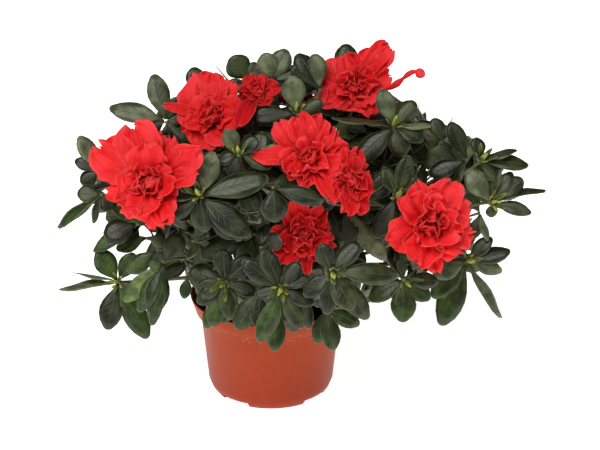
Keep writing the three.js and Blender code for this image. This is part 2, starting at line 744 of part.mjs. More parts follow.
// The wood of one mass: its stem goes on from the bough's tip to the leading whorl, and a twig leaves
// the stem for each other whorl. A whorl whose twig has no clear way is skipped.
function growShoots(mass, bough, whorls, lines) {
  const own = whorls.filter((w) => w.mass === mass);
  const lead = own.find((w) => w.lead);
  const tipHeading = bough.curve.getTangent(1);
  const start = along(bough.curve.getPoint(1), tipHeading, GAP);
  const neck = (w) => along(w.at, w.facing, -WHORL.neck);
  const stem = limbCurve(start, tipHeading, neck(lead), lead.facing, STEM.stiffness);
  const shoots = [{ whorl: lead, curve: stem, size: STEM }];
  const clear = (p) => {
    return isClear(p, lines, CLEAR.twig, CLEAR.twigBloom) && borderRoom(mass, p) >= CLEAR.twigBorder;
  };
  let turn = 0;
  for (const whorl of own.filter((w) => !w.lead)) {
    for (let tries = 0; tries < FORK.tries; tries++) {
      turn = (turn + FORK.step) % 1;
      const share = THREE.MathUtils.lerp(FORK.first, FORK.last, turn);
      const root = stem.getPoint(share);
      const onward = stem.getTangent(share);
      const away = sideways(whorl.at.clone().sub(root), onward);
      const out = onward.add(away).normalize();
      const curve = limbCurve(root, out, neck(whorl), whorl.facing, TWIG.stiffness);
      if (!curve.getPoints(12).slice(2).every(clear)) continue;
      shoots.push({ whorl, curve, size: TWIG });
      break;
    }
  }
  const bare = Array(WHORL.leaves).fill(null);
  return shoots.map((shoot) => {
    const withHub = { ...shoot, hub: whorlHub(shoot.whorl) };
    return { ...withHub, wood: shootSolid(withHub, bare) };
  });
}

const LOOKS = {
  pot: { color: 0xb5512f, roughness: 0.45 },
  soil: { color: 0x2a1c14, roughness: 0.95 },
  bark: { color: 0x6b5038, roughness: 0.85 },
  leaf: { color: 0x2f4a26, roughness: 0.5 },
  petal: { color: 0xe3181c, roughness: 0.55 },
};

const plant = new THREE.Group();
const standing = []; // solids that the leaves keep clear of

function addPiece(name, solid, look) {
  const mesh = new THREE.Mesh(geometryOf(solid), new THREE.MeshStandardMaterial({ ...look, metalness: 0 }));
  mesh.name = name;
  plant.add(mesh);
  standing.push(solid);
}

for (const bloom of BLOOMS) bloom.at = along(HEART, heading(bloom.bearing, bloom.pitch), bloom.reach);

addPiece("pot", potSolid(), LOOKS.pot);
addPiece("soil", soilSolid(), LOOKS.soil);
addPiece("trunk", trunkSolid(), LOOKS.bark);

const boughs = growBoughs();
for (const [name, bough] of boughs) {
  addPiece("bough_" + name, limbSolid(bough.curve, { ...BOUGH, ...bough }), LOOKS.bark);
}

const stalks = BLOOMS.map((bloom) => growStalk(bloom, boughs));
BLOOMS.forEach((bloom, k) => addPiece(bloom.name, bloomSolid(bloom, stalks[k]), LOOKS.petal));

// Foliage keeps clear of every bough and stalk, taken as lines, and of all that is placed before it.
const limbs = [...boughs.values()].map((bough) => bough.curve).concat(stalks);
const limbLines = limbs.map((curve) => curve.getPoints(10));
const whorls = scatterWhorls();
const shoots = MASSES.flatMap((mass) => growShoots(mass, boughs.get(mass.name), whorls, limbLines));
standing.push(...shoots.map((shoot) => shoot.wood));
const masses = new Map();
for (const shoot of shoots) {
  const { whorl, hub, wood } = shoot;
  const leaves = whorlLeaves(whorl, hub, limbLines, standing.filter((solid) => solid !== wood));
  standing.push(...leaves.filter((leaf) => leaf).map((leaf) => leaf.solid));
  const grown = masses.get(whorl.mass.name);
  const leafy = shootSolid(shoot, leaves);
  masses.set(whorl.mass.name, grown ? grown.add(leafy) : leafy);
}
for (const [name, solid] of masses) addPiece("foliage_" + name, wholeOf(solid), LOOKS.leaf);

export default plant;
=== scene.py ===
import functools
import math
from collections import namedtuple

import bmesh
import bpy
import numpy as np
from bpy.props import FloatProperty, FloatVectorProperty, IntProperty, PointerProperty
from bpy.types import Operator, Panel, PropertyGroup
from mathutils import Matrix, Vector, noise


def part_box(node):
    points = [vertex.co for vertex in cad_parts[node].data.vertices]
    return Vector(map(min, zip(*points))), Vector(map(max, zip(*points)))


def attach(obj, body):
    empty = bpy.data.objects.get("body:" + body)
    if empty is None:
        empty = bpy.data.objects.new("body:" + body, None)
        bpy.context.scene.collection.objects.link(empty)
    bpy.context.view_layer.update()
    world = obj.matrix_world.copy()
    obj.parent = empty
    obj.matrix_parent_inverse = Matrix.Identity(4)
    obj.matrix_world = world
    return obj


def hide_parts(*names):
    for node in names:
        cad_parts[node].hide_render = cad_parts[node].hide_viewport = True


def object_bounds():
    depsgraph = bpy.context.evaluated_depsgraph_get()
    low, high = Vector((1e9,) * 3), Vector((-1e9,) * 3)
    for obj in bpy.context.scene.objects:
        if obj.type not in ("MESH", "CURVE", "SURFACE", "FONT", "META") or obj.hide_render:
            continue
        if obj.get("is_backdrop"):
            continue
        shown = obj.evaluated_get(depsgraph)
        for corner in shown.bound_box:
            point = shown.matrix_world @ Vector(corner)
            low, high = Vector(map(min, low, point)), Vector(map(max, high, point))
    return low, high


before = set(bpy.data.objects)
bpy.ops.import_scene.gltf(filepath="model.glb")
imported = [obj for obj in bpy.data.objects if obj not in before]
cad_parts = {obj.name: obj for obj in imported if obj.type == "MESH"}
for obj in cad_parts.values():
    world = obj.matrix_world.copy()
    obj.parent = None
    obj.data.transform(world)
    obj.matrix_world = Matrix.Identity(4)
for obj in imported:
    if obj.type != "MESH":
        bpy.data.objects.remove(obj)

bl_info = {
    "name": "Potted azalea",
    "version": (1, 0, 0),
    "blender": (4, 5, 0),
    "location": "View3D > Sidebar > Azalea",
    "description": "Grows the leaves, wood and double blooms of a pot azalea on its frame",
    "category": "Add Mesh",
}

# A pot azalea in bloom. Sizes below are in millimetres, with +Z up and -Y the front; meshes are made in
# metres. The wood and the leaf whorls are grown by the rule that the solids follow, and carried further.

MM = 0.001
CAD_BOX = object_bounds()
POT_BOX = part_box("pot")
UP = np.array((0.0, 0.0, 1.0))
RIGHT = np.array((1.0, 0.0, 0.0))
NEARLY_UP = 0.9  # an axis that rises more than this is taken as upright
NUDGE = 1e-4  # share of a limb's length over which its direction is taken
RANDOM = {"factor": 1664525, "step": 1013904223, "range": 4294967296}


def linear(code):
    """An sRGB hex colour as linear red, green and blue."""
    parts = [int(code[k:k + 2], 16) / 255 for k in (1, 3, 5)]
    return tuple(c / 12.92 if c <= 0.04045 else ((c + 0.055) / 1.055) ** 2.4 for c in parts)


def size(name, description, millimetres):
    return FloatProperty(
        name=name, description=description, default=millimetres * MM, min=0, subtype="DISTANCE", unit="LENGTH"
    )


def tone(name, description, code):
    return FloatVectorProperty(
        name=name, description=description, default=linear(code), size=3, min=0, max=1, subtype="COLOR"
    )


def share(name, description, value):
    return FloatProperty(name=name, description=description, default=value, min=0, max=4, subtype="FACTOR")


class PotSettings(PropertyGroup):
    """The moulded pot and the peat in it."""

    height: size("Height", "From the table to the rim", POT_BOX[1].z / MM)
    rim_radius: size("Rim radius", "Outside radius of the lip at its top", POT_BOX[1].x / MM)
    lip_height: size("Lip height", "Height of the band below the rim", 13)
    lip_foot_radius: size("Lip foot radius", "Outside radius of the lip at its bottom", 56)
    body_radius: size("Body radius", "Outside radius under the lip", 52.5)
    chamfer_radius: size("Chamfer radius", "Outside radius just above the foot", 46.8)
    chamfer_height: size("Chamfer height", "Where the wall turns in towards the foot", 9)
    foot_radius: size("Foot radius", "Radius of the flat that the pot stands on", 42)
    wall: size("Wall", "Thickness of the wall", 1.5)
    channel_height: size("Foot notch height", "Height of the notches in the foot", 4)
    drain_radius: size("Drain radius", "Radius of each hole in the base", 4)
    soil_top: size("Peat level", "Height of the peat at the wall", 67)
    body_colour: tone("Pot colour", "Terracotta-coloured plastic", "#a03a16")
    foot_colour: tone("Foot colour", "The deeper tone near the foot", "#953213")
    peat_colour: tone("Peat colour", "Moist peat", "#1d130d")


class WoodSettings(PropertyGroup):
    """Trunk, boughs, twigs and stalks."""

    root_radius: size("Root flare radius", "Radius of the trunk on the peat", 8.5)
    foot_radius: size("Trunk radius", "Radius just above the flare", 5.6)
    top_radius: size("Fork radius", "Radius of the trunk where it forks", 4.2)
    bough_radius: size("Bough radius", "Radius of a main bough where it leaves the trunk", 2.3)
    bough_tip_radius: size("Bough tip radius", "Radius of a bough at its tip", 1.5)
    bark_colour: tone("Bark colour", "Old grey-brown bark", "#6d5641")
    crack_colour: tone("Crack colour", "The bottom of the cracks in the bark", "#2c2119")
    twig_colour: tone("Twig colour", "Green-brown wood of the last year", "#6b6334")
    stalk_colour: tone("Stalk colour", "Green flower stalks", "#7d8a3c")


class FoliageSettings(PropertyGroup):
    """Leaves, young leaves and buds."""

    leaf_length: size("Leaf length", "Length of a full leaf", 37)
    leaf_width: size("Leaf width", "Width of a full leaf", 19)
    leaf_thickness: size("Leaf thickness", "Thickness of a leaf", 0.4)
    fine_spacing: size("Inner spacing", "Least distance between the inner whorls", 23)
    young_leaves: IntProperty(
        name="Young leaves", description="Small leaves round each bud", default=4, min=0
    )
    # Deep green: the older leaves' own tone, darkened further as painted shade for leaves that sit in the
    # shade of others.
    deep_colour: tone("Deep green", "Older leaves", "#1d250b")
    grey_colour: tone("Grey green", "Leaves with the most hairs", "#323819")
    mid_colour: tone("Mid green", "Leaves of the last year", "#2a3611")
    fresh_colour: tone("Fresh green", "Lower leaves", "#314414")
    # Dusty green is a painted sheen: a pale grey green for leaves that face up into the light, also used to
    # lighten some leaves that sit in shade.
    dusty_colour: tone("Dusty green", "Upper leaves, grey with hairs", "#5d6648")
    young_colour: tone("Young green", "Leaves round the buds", "#596c25")
    under_colour: tone("Underside", "The paler back of a leaf", "#5c6f38")
    bud_colour: tone("Bud colour", "Scales of the buds", "#b9b84c")
    hair_colour: tone("Hair colour", "Pale hairs along the margin", "#93977a")


class BloomSettings(PropertyGroup):
    """The double blooms."""

    thickness: size("Petal thickness", "Thickness of a petal", 0.35)
    frill: share("Frill", "How strongly the petals are ruffled", 1)
    petal_colour: tone("Petal colour", "Outer petals", "#e41118")
    # The blush colour is partly the petal's own blush and partly a painted highlight on its outer half.
    blush_and_highlight_colour: tone("Blush colour", "Where an outer petal is palest", "#ff363e")
    # The heart colour is the inner petals' deeper red, and also painted shade on whole blooms that sit in
    # shade.
    heart_and_shade_colour: tone("Heart colour", "Inner petals", "#cf0c13")
    throat_colour: tone("Throat colour", "The foot of the petals", "#a3060d")
    # The frill colour is a painted highlight along the thin margins, where light comes through.
    rim_light_colour: tone("Frill colour", "The thin margins, where light comes through", "#fa605a")


class StageSettings(PropertyGroup):
    """Camera, floor and lights."""

    distance: size("Camera distance", "From the camera to the middle of the view", 2200)
    elevation: FloatProperty(
        name="Camera elevation", description="How far the camera looks down", default=math.radians(23.5),
        subtype="ANGLE", unit="ROTATION",
    )
    view_width: size("View width", "Width of the view at its middle", 444.6)
    floor_colour: tone("Floor colour", "White paper", "#f7f7f6")
    floor_glow: share("Floor glow", "Light that comes through the paper", 0.91)
    key_strength: FloatProperty(
        name="Key light", description="Strength of the light from above", default=2.3, min=0
    )
    fill_power: FloatProperty(
        name="Side lights", description="Power of each side light", default=2.4, min=0, unit="POWER"
    )
    sky: share("Surrounding light", "Strength of the light from all round", 0.12)


class AzaleaSettings(PropertyGroup):
    """All settings of the plant and its stage."""

    pot: PointerProperty(type=PotSettings)
    wood: PointerProperty(type=WoodSettings)
    foliage: PointerProperty(type=FoliageSettings)
    bloom: PointerProperty(type=BloomSettings)
    stage: PointerProperty(type=StageSettings)


# Places of the limbs, leaves and blooms. Lengths are in mm, bearings and pitches in degrees, and the rest are
# shares. The first groups are those of the solids.

HEART = np.array((6.0, 2.0, 96.0))  # the heart of the crown, where the boughs part
JOINT_GAP = 0.3  # between a limb and what it leaves, as in the solids
TRUNK = {"foot": 69.8, "flare": 5, "top": 104, "flute": 0.12, "ribs": 3, "flute_height": 12}
BOUGH = {"side_root": 1.8, "lowest": 80, "highest": 99, "share": 0.46, "fork": 0.42, "room": 1.05, "gap": 0.4}
STEM = {"root": 1.6, "tip": 1}
TWIG = {"root": 0.95, "tip": 0.8}
STALK = {"fork": 0.82, "depth": 0.36, "share": 0.7, "root": 1.2, "tip": 1.5}
STIFF = {"bough": 0.3, "stem": 0.38, "twig": 0.3, "stalk": 0.3}
FORK = {"first": 0.12, "last": 0.85, "step": 0.382, "tries": 6}
CROWN = {"centre": np.array((22.0, 0.0, 150.0)), "width": 150, "depth": 120, "rise": 92, "drop": 72,
         "tuck": 0.45, "power": 1.2, "outward": 0.8, "upward": 0.3}
WHORL = {"leaves": 8, "hub": 2.1, "neck": 2.6, "spread": 0.3}
FILL = {"seed": 20417, "tries": 4000, "spacing": 36, "lowest": -0.62, "depth": 0.42, "bloom": 4,
        "border": 3.5}
INNER = {"seed": 911, "tries": 5000, "nearest": 0.42, "furthest": 0.88, "lowest": -0.8, "leaves": 6,
         "share": 0.78, "bloom": 3, "border": 1}
WHORL_SEEDS = {"crown": (FILL["seed"] + 1, 7), "inner": (INNER["seed"] + 5, 13), "shown": (FILL["seed"], 31)}
LINE_STEPS = 10  # straight pieces that stand for a limb where leaves keep clear of it
WAY_PARTS = np.linspace(0, 1, 13)[2:]  # where a twig is tested, past its root
NEAR_PARTS = (0.2, 0.5, 0.8)  # where the distance from a stem to an inner whorl is taken
CLEAR = {"limb": 3.2, "twig": 3, "pot": 2, "bloom": 1, "twig_bloom": 4, "twig_border": 1, "interlock": 9}
FACE = {"half_height": 15, "share": 0.8, "reach": 50}

# Leaves of a whorl stand low and high in turn. TRIALS are the turns and the sizes in which a leaf is tried.
# Its base, its widest place, its blunt end and points inside it are tested for room.
LEAF = {"widest": 0.55, "droop": 0.1, "low": 12, "high": 42, "pitch": 14, "steep": 0.82, "long": 0.28,
        "wide": 0.24, "end": 0.42, "inside": (-0.6, 0.6)}
TRIALS = [(0, 1), (-22, 1), (20, 1), (-42, 1), (0, 0.8), (-22, 0.8), (20, 0.8), (-42, 0.8), (0, 0.6),
          (-30, 0.6)]
EDGE_PARTS = np.linspace(0, 1, 5)[:, None]
MIDRIB_PARTS = np.linspace(0.15, 0.95, 7)[:, None]

# How greens are dealt out to shoots, and what stands round a bud and along a shoot. Pairs are a least value
# and what chance adds to it.
DEALT = {"low": 105, "step": 0.382, "fresh": 0.6, "deep": 0.4, "grey": 0.7, "greens": 3, "shift": 2}
YOUNG = {"first": 0.5, "turn": 0.4, "pitch": (58, 20), "length": (8, 6), "slim": 0.3, "thin": 0.8}
SCALE = {"count": 5, "turn": 0.4, "pitch": (45, 30), "length": (4.5, 2.5), "slim": 0.35}
BUD = {"open": 9, "resting": 3.4, "size": (0.8, 0.4), "lift": 0.8}
SINGLE = {"first": 0.9, "last": 0.5, "gap": 0.11, "fine_gap": 0.18, "pitch": (20, 30), "length": (0.62, 0.25),
          "slim": 0.5, "foot": 1.2, "clear_foot": 4.5}

# Leaves placed by the view: how far one leans back for each millimetre that it rises, how far its face turns
# up, and how far from the hub it starts. SEEN_FRESH is where they are fresh green, and SEEN_ROOM what other
# leaves and whorls leave free before and behind them, in pixels and mm.
SEEN = {"lean": 0.38, "up": 0.35, "foot": 1.2}
SEEN_FRESH = {"low": 285, "left": 175, "left_low": 245}
SEEN_ROOM = {"pixels": 32, "behind": 45, "veil": 13, "before": 3}

Mass = namedtuple("Mass", "name bearing pitch reach main look", defaults=(False, None))
MASSES = [
    Mass("front_low", 271, 16, 112, True),
    Mass("front_low_left", 244, 12, 108),
    Mass("front_low_right", 294, 13, 112),
    Mass("left_low_front", 226, 17, 118),
    Mass("left_low", 207, 5, 130, True, (245, 22)),
    Mass("left", 190, 19, 144, False, (232, 18)),
    Mass("right_low", 343, 9, 150, True, (300, 22)),
    Mass("right_low_front", 320, 7, 122),
    Mass("right", 341, 25, 174, False, (305, 24)),
    Mass("right_upper", 344, 36, 172, False, (310, 48)),
    Mass("mid_left", 241, 42, 142, True),
    Mass("mid_right", 308, 36, 152, True),
    Mass("upper_front", 254, 57, 144),
    Mass("upper_left", 163, 45, 154, True),
    Mass("upper_right", 338, 59, 156, True),
    Mass("top", 285, 80, 145, True),
    Mass("top_left", 122, 66, 145),
    Mass("top_right", 50, 62, 154),
    Mass("back_left", 148, 16, 138),
    Mass("back", 98, 14, 122, True),
    Mass("back_right", 35, 17, 148, True),
    Mass("back_high", 84, 40, 138),
]

# A bloom: its place in the crown, its radius, the way it looks, its style, how far below its place its
# middle hangs, or where its middle shows in the front view, with its depth where that isn't the rule's, and
# its outer petals as seen in that view: azimuth in degrees from the right, length and width in mm.
Bloom = namedtuple(
    "Bloom", "name bearing pitch reach radius look style drop x y depth outer",
    defaults=(0, None, None, None, ()),
)
BLOOMS = [
    Bloom("bloom_left", 213, 42, 156, 34, (243, 36), "broad", 0, 149, 183, -84, [
        (103, 45, 38), (147, 48, 36), (62, 38, 32), (188, 31, 28), (294, 35, 20), (226, 29, 28),
        (322, 23, 24), (258, 22, 20), (8, 37, 16), (28, 45, 26)]),
    Bloom("bloom_upper_left", 207, 66, 152, 29, (245, 46), "broad", 0, 212, 117, None, [
        (122, 34, 38), (92, 32, 26), (62, 31, 24), (180, 25, 24), (166, 36, 9), (208, 24, 24),
        (256, 26, 28), (328, 22, 20), (20, 19, 20)]),
    Bloom("bloom_top_small", 262, 86, 160, 17, (280, 55), "frilled", 0, 257, 92, None, [
        (110, 15, 16), (60, 15, 15), (14, 18, 15), (312, 15, 14), (243, 31, 14), (180, 14, 14)]),
    Bloom("bloom_centre", 279, 58, 158, 30, (262, 44), "star", 0, 310, 158, None, [
        (134, 36, 22), (105, 33, 22), (80, 32, 22), (45, 26, 22), (14, 29, 26), (301, 37, 15),
        (230, 21, 20), (262, 22, 16), (178, 41, 15)]),
    Bloom("bloom_centre_right", 301, 45, 156, 21, (300, 30), "frilled", 0, 353, 181, None, [
        (83, 25, 13), (102, 25, 15), (40, 14, 16), (335, 15, 20), (288, 25, 18), (254, 25, 17),
        (216, 19, 18), (155, 16, 18)]),
    Bloom("bloom_top_right", 2, 68, 161, 29, (262, 40), "broad", 0, 356, 84, None, [
        (53, 39, 17), (42, 37, 17), (65, 30, 16), (80, 21, 20), (106, 25, 26), (156, 29, 28),
        (207, 33, 20), (245, 22, 26), (292, 27, 22), (335, 24, 20), (16, 27, 24)]),
    Bloom("bloom_right", 319, 27, 166, 33, (286, 24), "rose", 0, 431, 226, None, [
        (108, 33, 23), (63, 37, 28), (17, 32, 24), (350, 31, 24), (315, 31, 28), (272, 34, 15),
        (240, 28, 28), (196, 33, 29)]),
    Bloom("bloom_low", 279, 31, 150, 24, (275, 22), "frilled", 0, 304, 236, -98, [
        (108, 28, 23), (52, 25, 18), (349, 23, 18), (306, 21, 19), (276, 28, 9), (234, 26, 16),
        (208, 26, 18), (184, 26, 18), (146, 18, 16), (12, 21, 18)]),
    Bloom("bloom_back", 110, 30, 138, 31, (110, 35), "broad", 5),
    Bloom("bloom_back_left", 137, 33, 148, 24, (140, 33), "rose", 20),
    Bloom("bloom_back_right", 55, 34, 156, 28, (55, 34), "star", 16),
    Bloom("bloom_back_top", 78, 70, 150, 19, (85, 56), "broad", 26),
]

# Shoots that show in the front view. Places are pixels of its 600 x 450 frame, depth is y in mm. Each leaf
# is given by its tip, its width in mm, how far it is rolled out of the view, in degrees, and its colour where
# that isn't dealt out.
# The deep green, where it is given to a leaf here, is painted shade for a leaf that sits in the shade of
# others.
DEEP_AND_SHADE, GREY, MID, FRESH, PAINTED_SHEEN = range(5)
Tip = namedtuple("Tip", "x y width roll tint", defaults=(0, None))
Shown = namedtuple("Shown", "mass x y depth tips bud", defaults=(False,))
SHOWN = [
    Shown("front_low", 281, 288, -124, [
        (262, 341, 15), (302, 327, 14, 0, GREY), (263, 248, 14, 0, DEEP_AND_SHADE),
        (299, 263, 13, 0, DEEP_AND_SHADE), (243, 262, 15), (309, 277, 11), (313, 303, 13, 0, DEEP_AND_SHADE),
        (256, 295, 10, 0, DEEP_AND_SHADE)], True),
    Shown(None, 276, 305, -104, [(275, 350, 15), (252, 322, 12, 0, DEEP_AND_SHADE)]),
    Shown("front_low_left", 225, 282, -93, [
        (212, 325, 15), (189, 274, 20), (197, 292, 16), (199, 303, 14, 0, DEEP_AND_SHADE),
        (222, 249, 15, 0, DEEP_AND_SHADE), (252, 257, 15, 0, DEEP_AND_SHADE), (234, 307, 10),
        (230, 319, 11, 0, MID), (256, 293, 12, 0, DEEP_AND_SHADE)], True),
    Shown(None, 260, 291, -106, [(237, 328, 17, 0, MID), (258, 327, 13, 0, DEEP_AND_SHADE)]),
    Shown(None, 218, 300, -80, [(205, 327, 12), (226, 322, 12)]),
    Shown(None, 188, 275, -70, [(184, 298, 9)]),
    Shown("front_low_right", 332, 272, -127, [
        (320, 245, 14, 0, DEEP_AND_SHADE), (357, 242, 15), (396, 275, 16), (352, 309, 18, 0, GREY),
        (305, 295, 14, 0, DEEP_AND_SHADE), (367, 317, 17, 0, GREY), (345, 262, 10),
        (328, 313, 14, 0, DEEP_AND_SHADE)], True),
    Shown(None, 326, 309, -100, [(333, 349, 15), (316, 342, 12), (358, 325, 13)]),
    Shown("left_low_front", 163, 262, -79, [
        (126, 301, 14, 165), (141, 311, 14, 20), (155, 314, 18, 0, DEEP_AND_SHADE), (181, 236, 17),
        (150, 268, 10), (151, 323, 13)]),
    Shown(None, 157, 250, -70, [(129, 272, 14)]),
    Shown("left_low", 118, 282, -57, [
        (98, 251, 17), (134, 254, 14), (75, 270, 13, 58, PAINTED_SHEEN), (61, 288, 15, 42, PAINTED_SHEEN),
        (107, 328, 18, 0, DEEP_AND_SHADE), (146, 337, 18), (131, 290, 10)], True),
    Shown("left", 101, 195, -22, [
        (57, 223, 15, 38, FRESH), (66, 228, 10, 50, FRESH), (92, 222, 9, 45),
        (113, 208, 15, 0, DEEP_AND_SHADE), (78, 193, 14)]),
    Shown(None, 99, 170, -8, [(80, 137, 14, 0, PAINTED_SHEEN), (76, 160, 11), (82, 184, 13)]),
    Shown(None, 137, 224, -44, [(105, 236, 20, 0, DEEP_AND_SHADE), (94, 249, 12)]),
    Shown(None, 147, 238, -38, [(117, 248, 13), (166, 242, 12, 0, PAINTED_SHEEN)]),
    Shown("right_low", 467, 261, -41, [
        (491, 238, 12), (509, 251, 14), (501, 271, 12, 0, PAINTED_SHEEN), (499, 317, 13, 36, PAINTED_SHEEN),
        (434, 274, 17, 0, PAINTED_SHEEN), (433, 296, 18), (441, 323, 21), (452, 243, 10)], True),
    Shown("right_low_front", 404, 280, -76, [
        (403, 321, 19), (429, 299, 14), (437, 281, 13), (388, 257, 9, 40),
        (401, 258, 9, 40), (370, 299, 15)], True),
    Shown("right", 491, 202, -49, [
        (469, 171, 17, 0, PAINTED_SHEEN), (496, 165, 12, 40), (522, 180, 17), (543, 188, 12, 52),
        (530, 213, 11), (492, 217, 9), (511, 173, 12)], True),
    Shown(None, 480, 213, -30, [(488, 240, 9, 40, PAINTED_SHEEN), (466, 190, 14), (473, 238, 10)]),
    Shown("right_upper", 481, 160, -36, [
        (477, 138, 11), (516, 151, 12, 40), (527, 165, 15, 20), (500, 180, 13)], True),
    Shown(None, 467, 160, -20, [(451, 123, 14), (430, 174, 14, 0, DEEP_AND_SHADE), (451, 179, 12, 30)]),
    Shown(None, 441, 142, -5, [
        (434, 119, 13), (457, 138, 11), (421, 132, 12), (453, 174, 14, 0, DEEP_AND_SHADE),
        (431, 168, 14, 0, PAINTED_SHEEN)]),
    Shown("mid_left", 200, 196, -90, [
        (213, 153, 17, 0, PAINTED_SHEEN), (266, 178, 19), (247, 236, 20), (205, 230, 18, 0, DEEP_AND_SHADE),
        (168, 216, 14, 0, DEEP_AND_SHADE), (172, 199, 10, 40), (180, 180, 11)], True),
    Shown("mid_right", 397, 197, -74, [
        (409, 157, 13), (377, 237, 15, 0, DEEP_AND_SHADE), (384, 168, 12), (419, 180, 11)], True),
    Shown(None, 365, 200, -70, [(392, 177, 17)]),
    Shown(None, 346, 210, -74, [(350, 242, 15), (384, 258, 15, 0, PAINTED_SHEEN)]),
    Shown(None, 273, 187, -112, [(276, 221, 20, 0, DEEP_AND_SHADE), (320, 202, 13, 0, DEEP_AND_SHADE)]),
    Shown(None, 327, 197, -106, [(313, 206, 8, 45, PAINTED_SHEEN)]),
    Shown("upper_front", 239, 154, -73, [
        (226, 130, 13, 0, PAINTED_SHEEN), (257, 138, 14), (271, 166, 11), (217, 160, 11, 0, DEEP_AND_SHADE),
        (231, 178, 12)], True),
    Shown("upper_left", 166, 121, 20, [
        (112, 106, 17, 0, PAINTED_SHEEN), (154, 76, 17, 0, PAINTED_SHEEN), (196, 142, 14), (147, 128, 13),
        (180, 98, 12), (183, 119, 12), (172, 134, 13, 0, DEEP_AND_SHADE)]),
    Shown(None, 198, 94, 30, [(194, 68, 15), (218, 74, 8)]),
    Shown("upper_right", 394, 126, -28, [
        (382, 90, 15, 0, PAINTED_SHEEN), (414, 102, 16, 0, MID), (430, 124, 10, 40, PAINTED_SHEEN),
        (422, 141, 13), (403, 156, 16), (333, 121, 12, 55), (358, 160, 17, 0, DEEP_AND_SHADE)], True),
    Shown("top", 297, 113, -22, [
        (291, 77, 18, 0, PAINTED_SHEEN), (323, 103, 12), (250, 118, 16, 0, DEEP_AND_SHADE), (313, 128, 12)], True),
    Shown(None, 320, 89, 0, [(300, 54, 18), (314, 55, 16, 0, PAINTED_SHEEN), (291, 67, 11)]),
    Shown("top_left", 249, 81, 40, [(231, 58, 20), (256, 63, 12), (226, 90, 12)]),
    Shown(None, 273, 81, 8, [
        (264, 54, 17, 0, PAINTED_SHEEN), (285, 50, 17, 0, PAINTED_SHEEN), (286, 74, 10, 0, DEEP_AND_SHADE),
        (293, 68, 15, 0, DEEP_AND_SHADE), (284, 92, 13, 0, DEEP_AND_SHADE), (254, 67, 14)]),
    Shown("top_right", 346, 78, 45, [(346, 45, 18), (372, 60, 14)]),
]

# Dried pistils of past flowers stand above the crown: foot, tip and depth.
PISTILS = [(419, 124, 419, 101, -5), (442, 135, 453, 118, 0), (231, 84, 216, 66, 35)]

# One petal of the top right bloom is rolled up and stands far out: x, y and depth of its foot and its tip,
# its radius in mm at parts of its length, and how it is rolled. It is pinched twice and ends in a knob.
CURLED_PETAL = [(383, 88, 2), (424, 76.5, -6)]
CURLED_RADII = [(0, 1.9), (0.26, 2.5), (0.42, 0.8), (0.56, 1.7), (0.68, 1.5), (0.8, 0.9), (1, 0.3)]
CURLED_KNOB = {"middle": 0.9, "half_length": 0.1, "radius": 3.3}
CURLED_WAY = {"foot": 5, "tip": -45, "stiffness": 0.5}
CURLED_ROLL = {"cells": (12, 60), "foot": 2.1, "more": 0.9}

# The crown's outline in the front view, clockwise from its leaf furthest left, in pixels. Leaves that the
# view doesn't place keep inside it, so it follows every leaf tip and every notch between them.
OUTLINE = [
    (57, 224), (72, 190), (72, 152), (77, 135), (96, 134), (108, 124), (107, 98), (122, 96), (144, 101),
    (146, 73), (160, 72), (173, 88), (184, 66), (205, 64), (222, 66), (226, 54), (250, 58), (260, 52),
    (274, 48), (291, 47), (297, 53), (315, 53), (332, 56), (336, 43), (352, 43), (370, 56), (378, 86),
    (391, 90), (395, 99), (404, 97), (417, 100), (420, 113), (428, 117), (441, 114), (450, 121),
    (468, 132), (474, 136), (482, 137), (493, 150), (518, 150), (530, 166), (526, 182), (545, 188),
    (530, 204), (532, 216), (504, 219), (488, 214), (492, 240), (512, 248), (510, 260), (503, 280),
    (482, 282), (501, 319), (492, 322), (466, 292), (450, 322), (438, 327), (430, 304), (420, 306),
    (408, 324), (396, 322), (384, 298), (368, 296), (371, 303), (369, 316), (360, 328), (346, 328),
    (339, 336), (338, 350), (330, 351), (310, 344), (301, 330), (284, 351), (268, 351), (256, 343),
    (238, 330), (214, 329), (200, 328), (192, 312), (188, 290), (178, 298), (171, 290), (156, 317),
    (148, 340), (138, 339), (126, 336), (98, 329), (97, 300), (104, 292), (58, 290), (70, 267), (90, 268),
    (92, 238), (84, 224), (66, 231),
]

# Where the crown is open from front to back: x, y and radius in pixels of the front view. Leaves keep the
# margin clear round them.
OPENING_MARGIN = 1
OPENINGS = [
    (139, 231, 5), (152, 230, 5), (150, 245, 3), (175, 285, 4), (177, 265, 3), (361, 257, 3),
    (366, 259, 5), (377, 259, 5), (361, 286, 4), (476, 210, 3), (480, 225, 3), (471, 284, 4),
    (460, 257, 3), (440, 152, 4), (428, 177, 4), (338, 133, 3), (229, 79, 3), (276, 109, 2), (372, 211, 2),
    (402, 285, 2),
]


def heading(bearing, pitch):
    b, p = math.radians(bearing), math.radians(pitch)
    return np.array((math.cos(p) * math.cos(b), math.cos(p) * math.sin(b), math.sin(p)))


def unit(vector):
    return vector / np.linalg.norm(vector)


def square_to(axis):
    """Two unit vectors square to an axis and to each other."""
    u = unit(np.cross(UP if abs(axis[2]) < NEARLY_UP else RIGHT, axis))
    return u, np.cross(axis, u)


def around(axis, angle):
    """The direction square to an axis at an angle about it."""
    u, v = square_to(axis)
    return u * math.cos(angle) + v * math.sin(angle)


def sideways(direction, tangent):
    return unit(direction - tangent * (direction @ tangent))


def between(a, b, part):
    return a + (b - a) * part


def drawn(draw, least, spread):
    return least + spread * draw()


def seeded(seed):
    """A repeatable stream of numbers from 0 to 1."""
    state = seed

    def draw():
        nonlocal state
        state = (state * RANDOM["factor"] + RANDOM["step"]) % RANDOM["range"]
        return state / RANDOM["range"]

    return draw


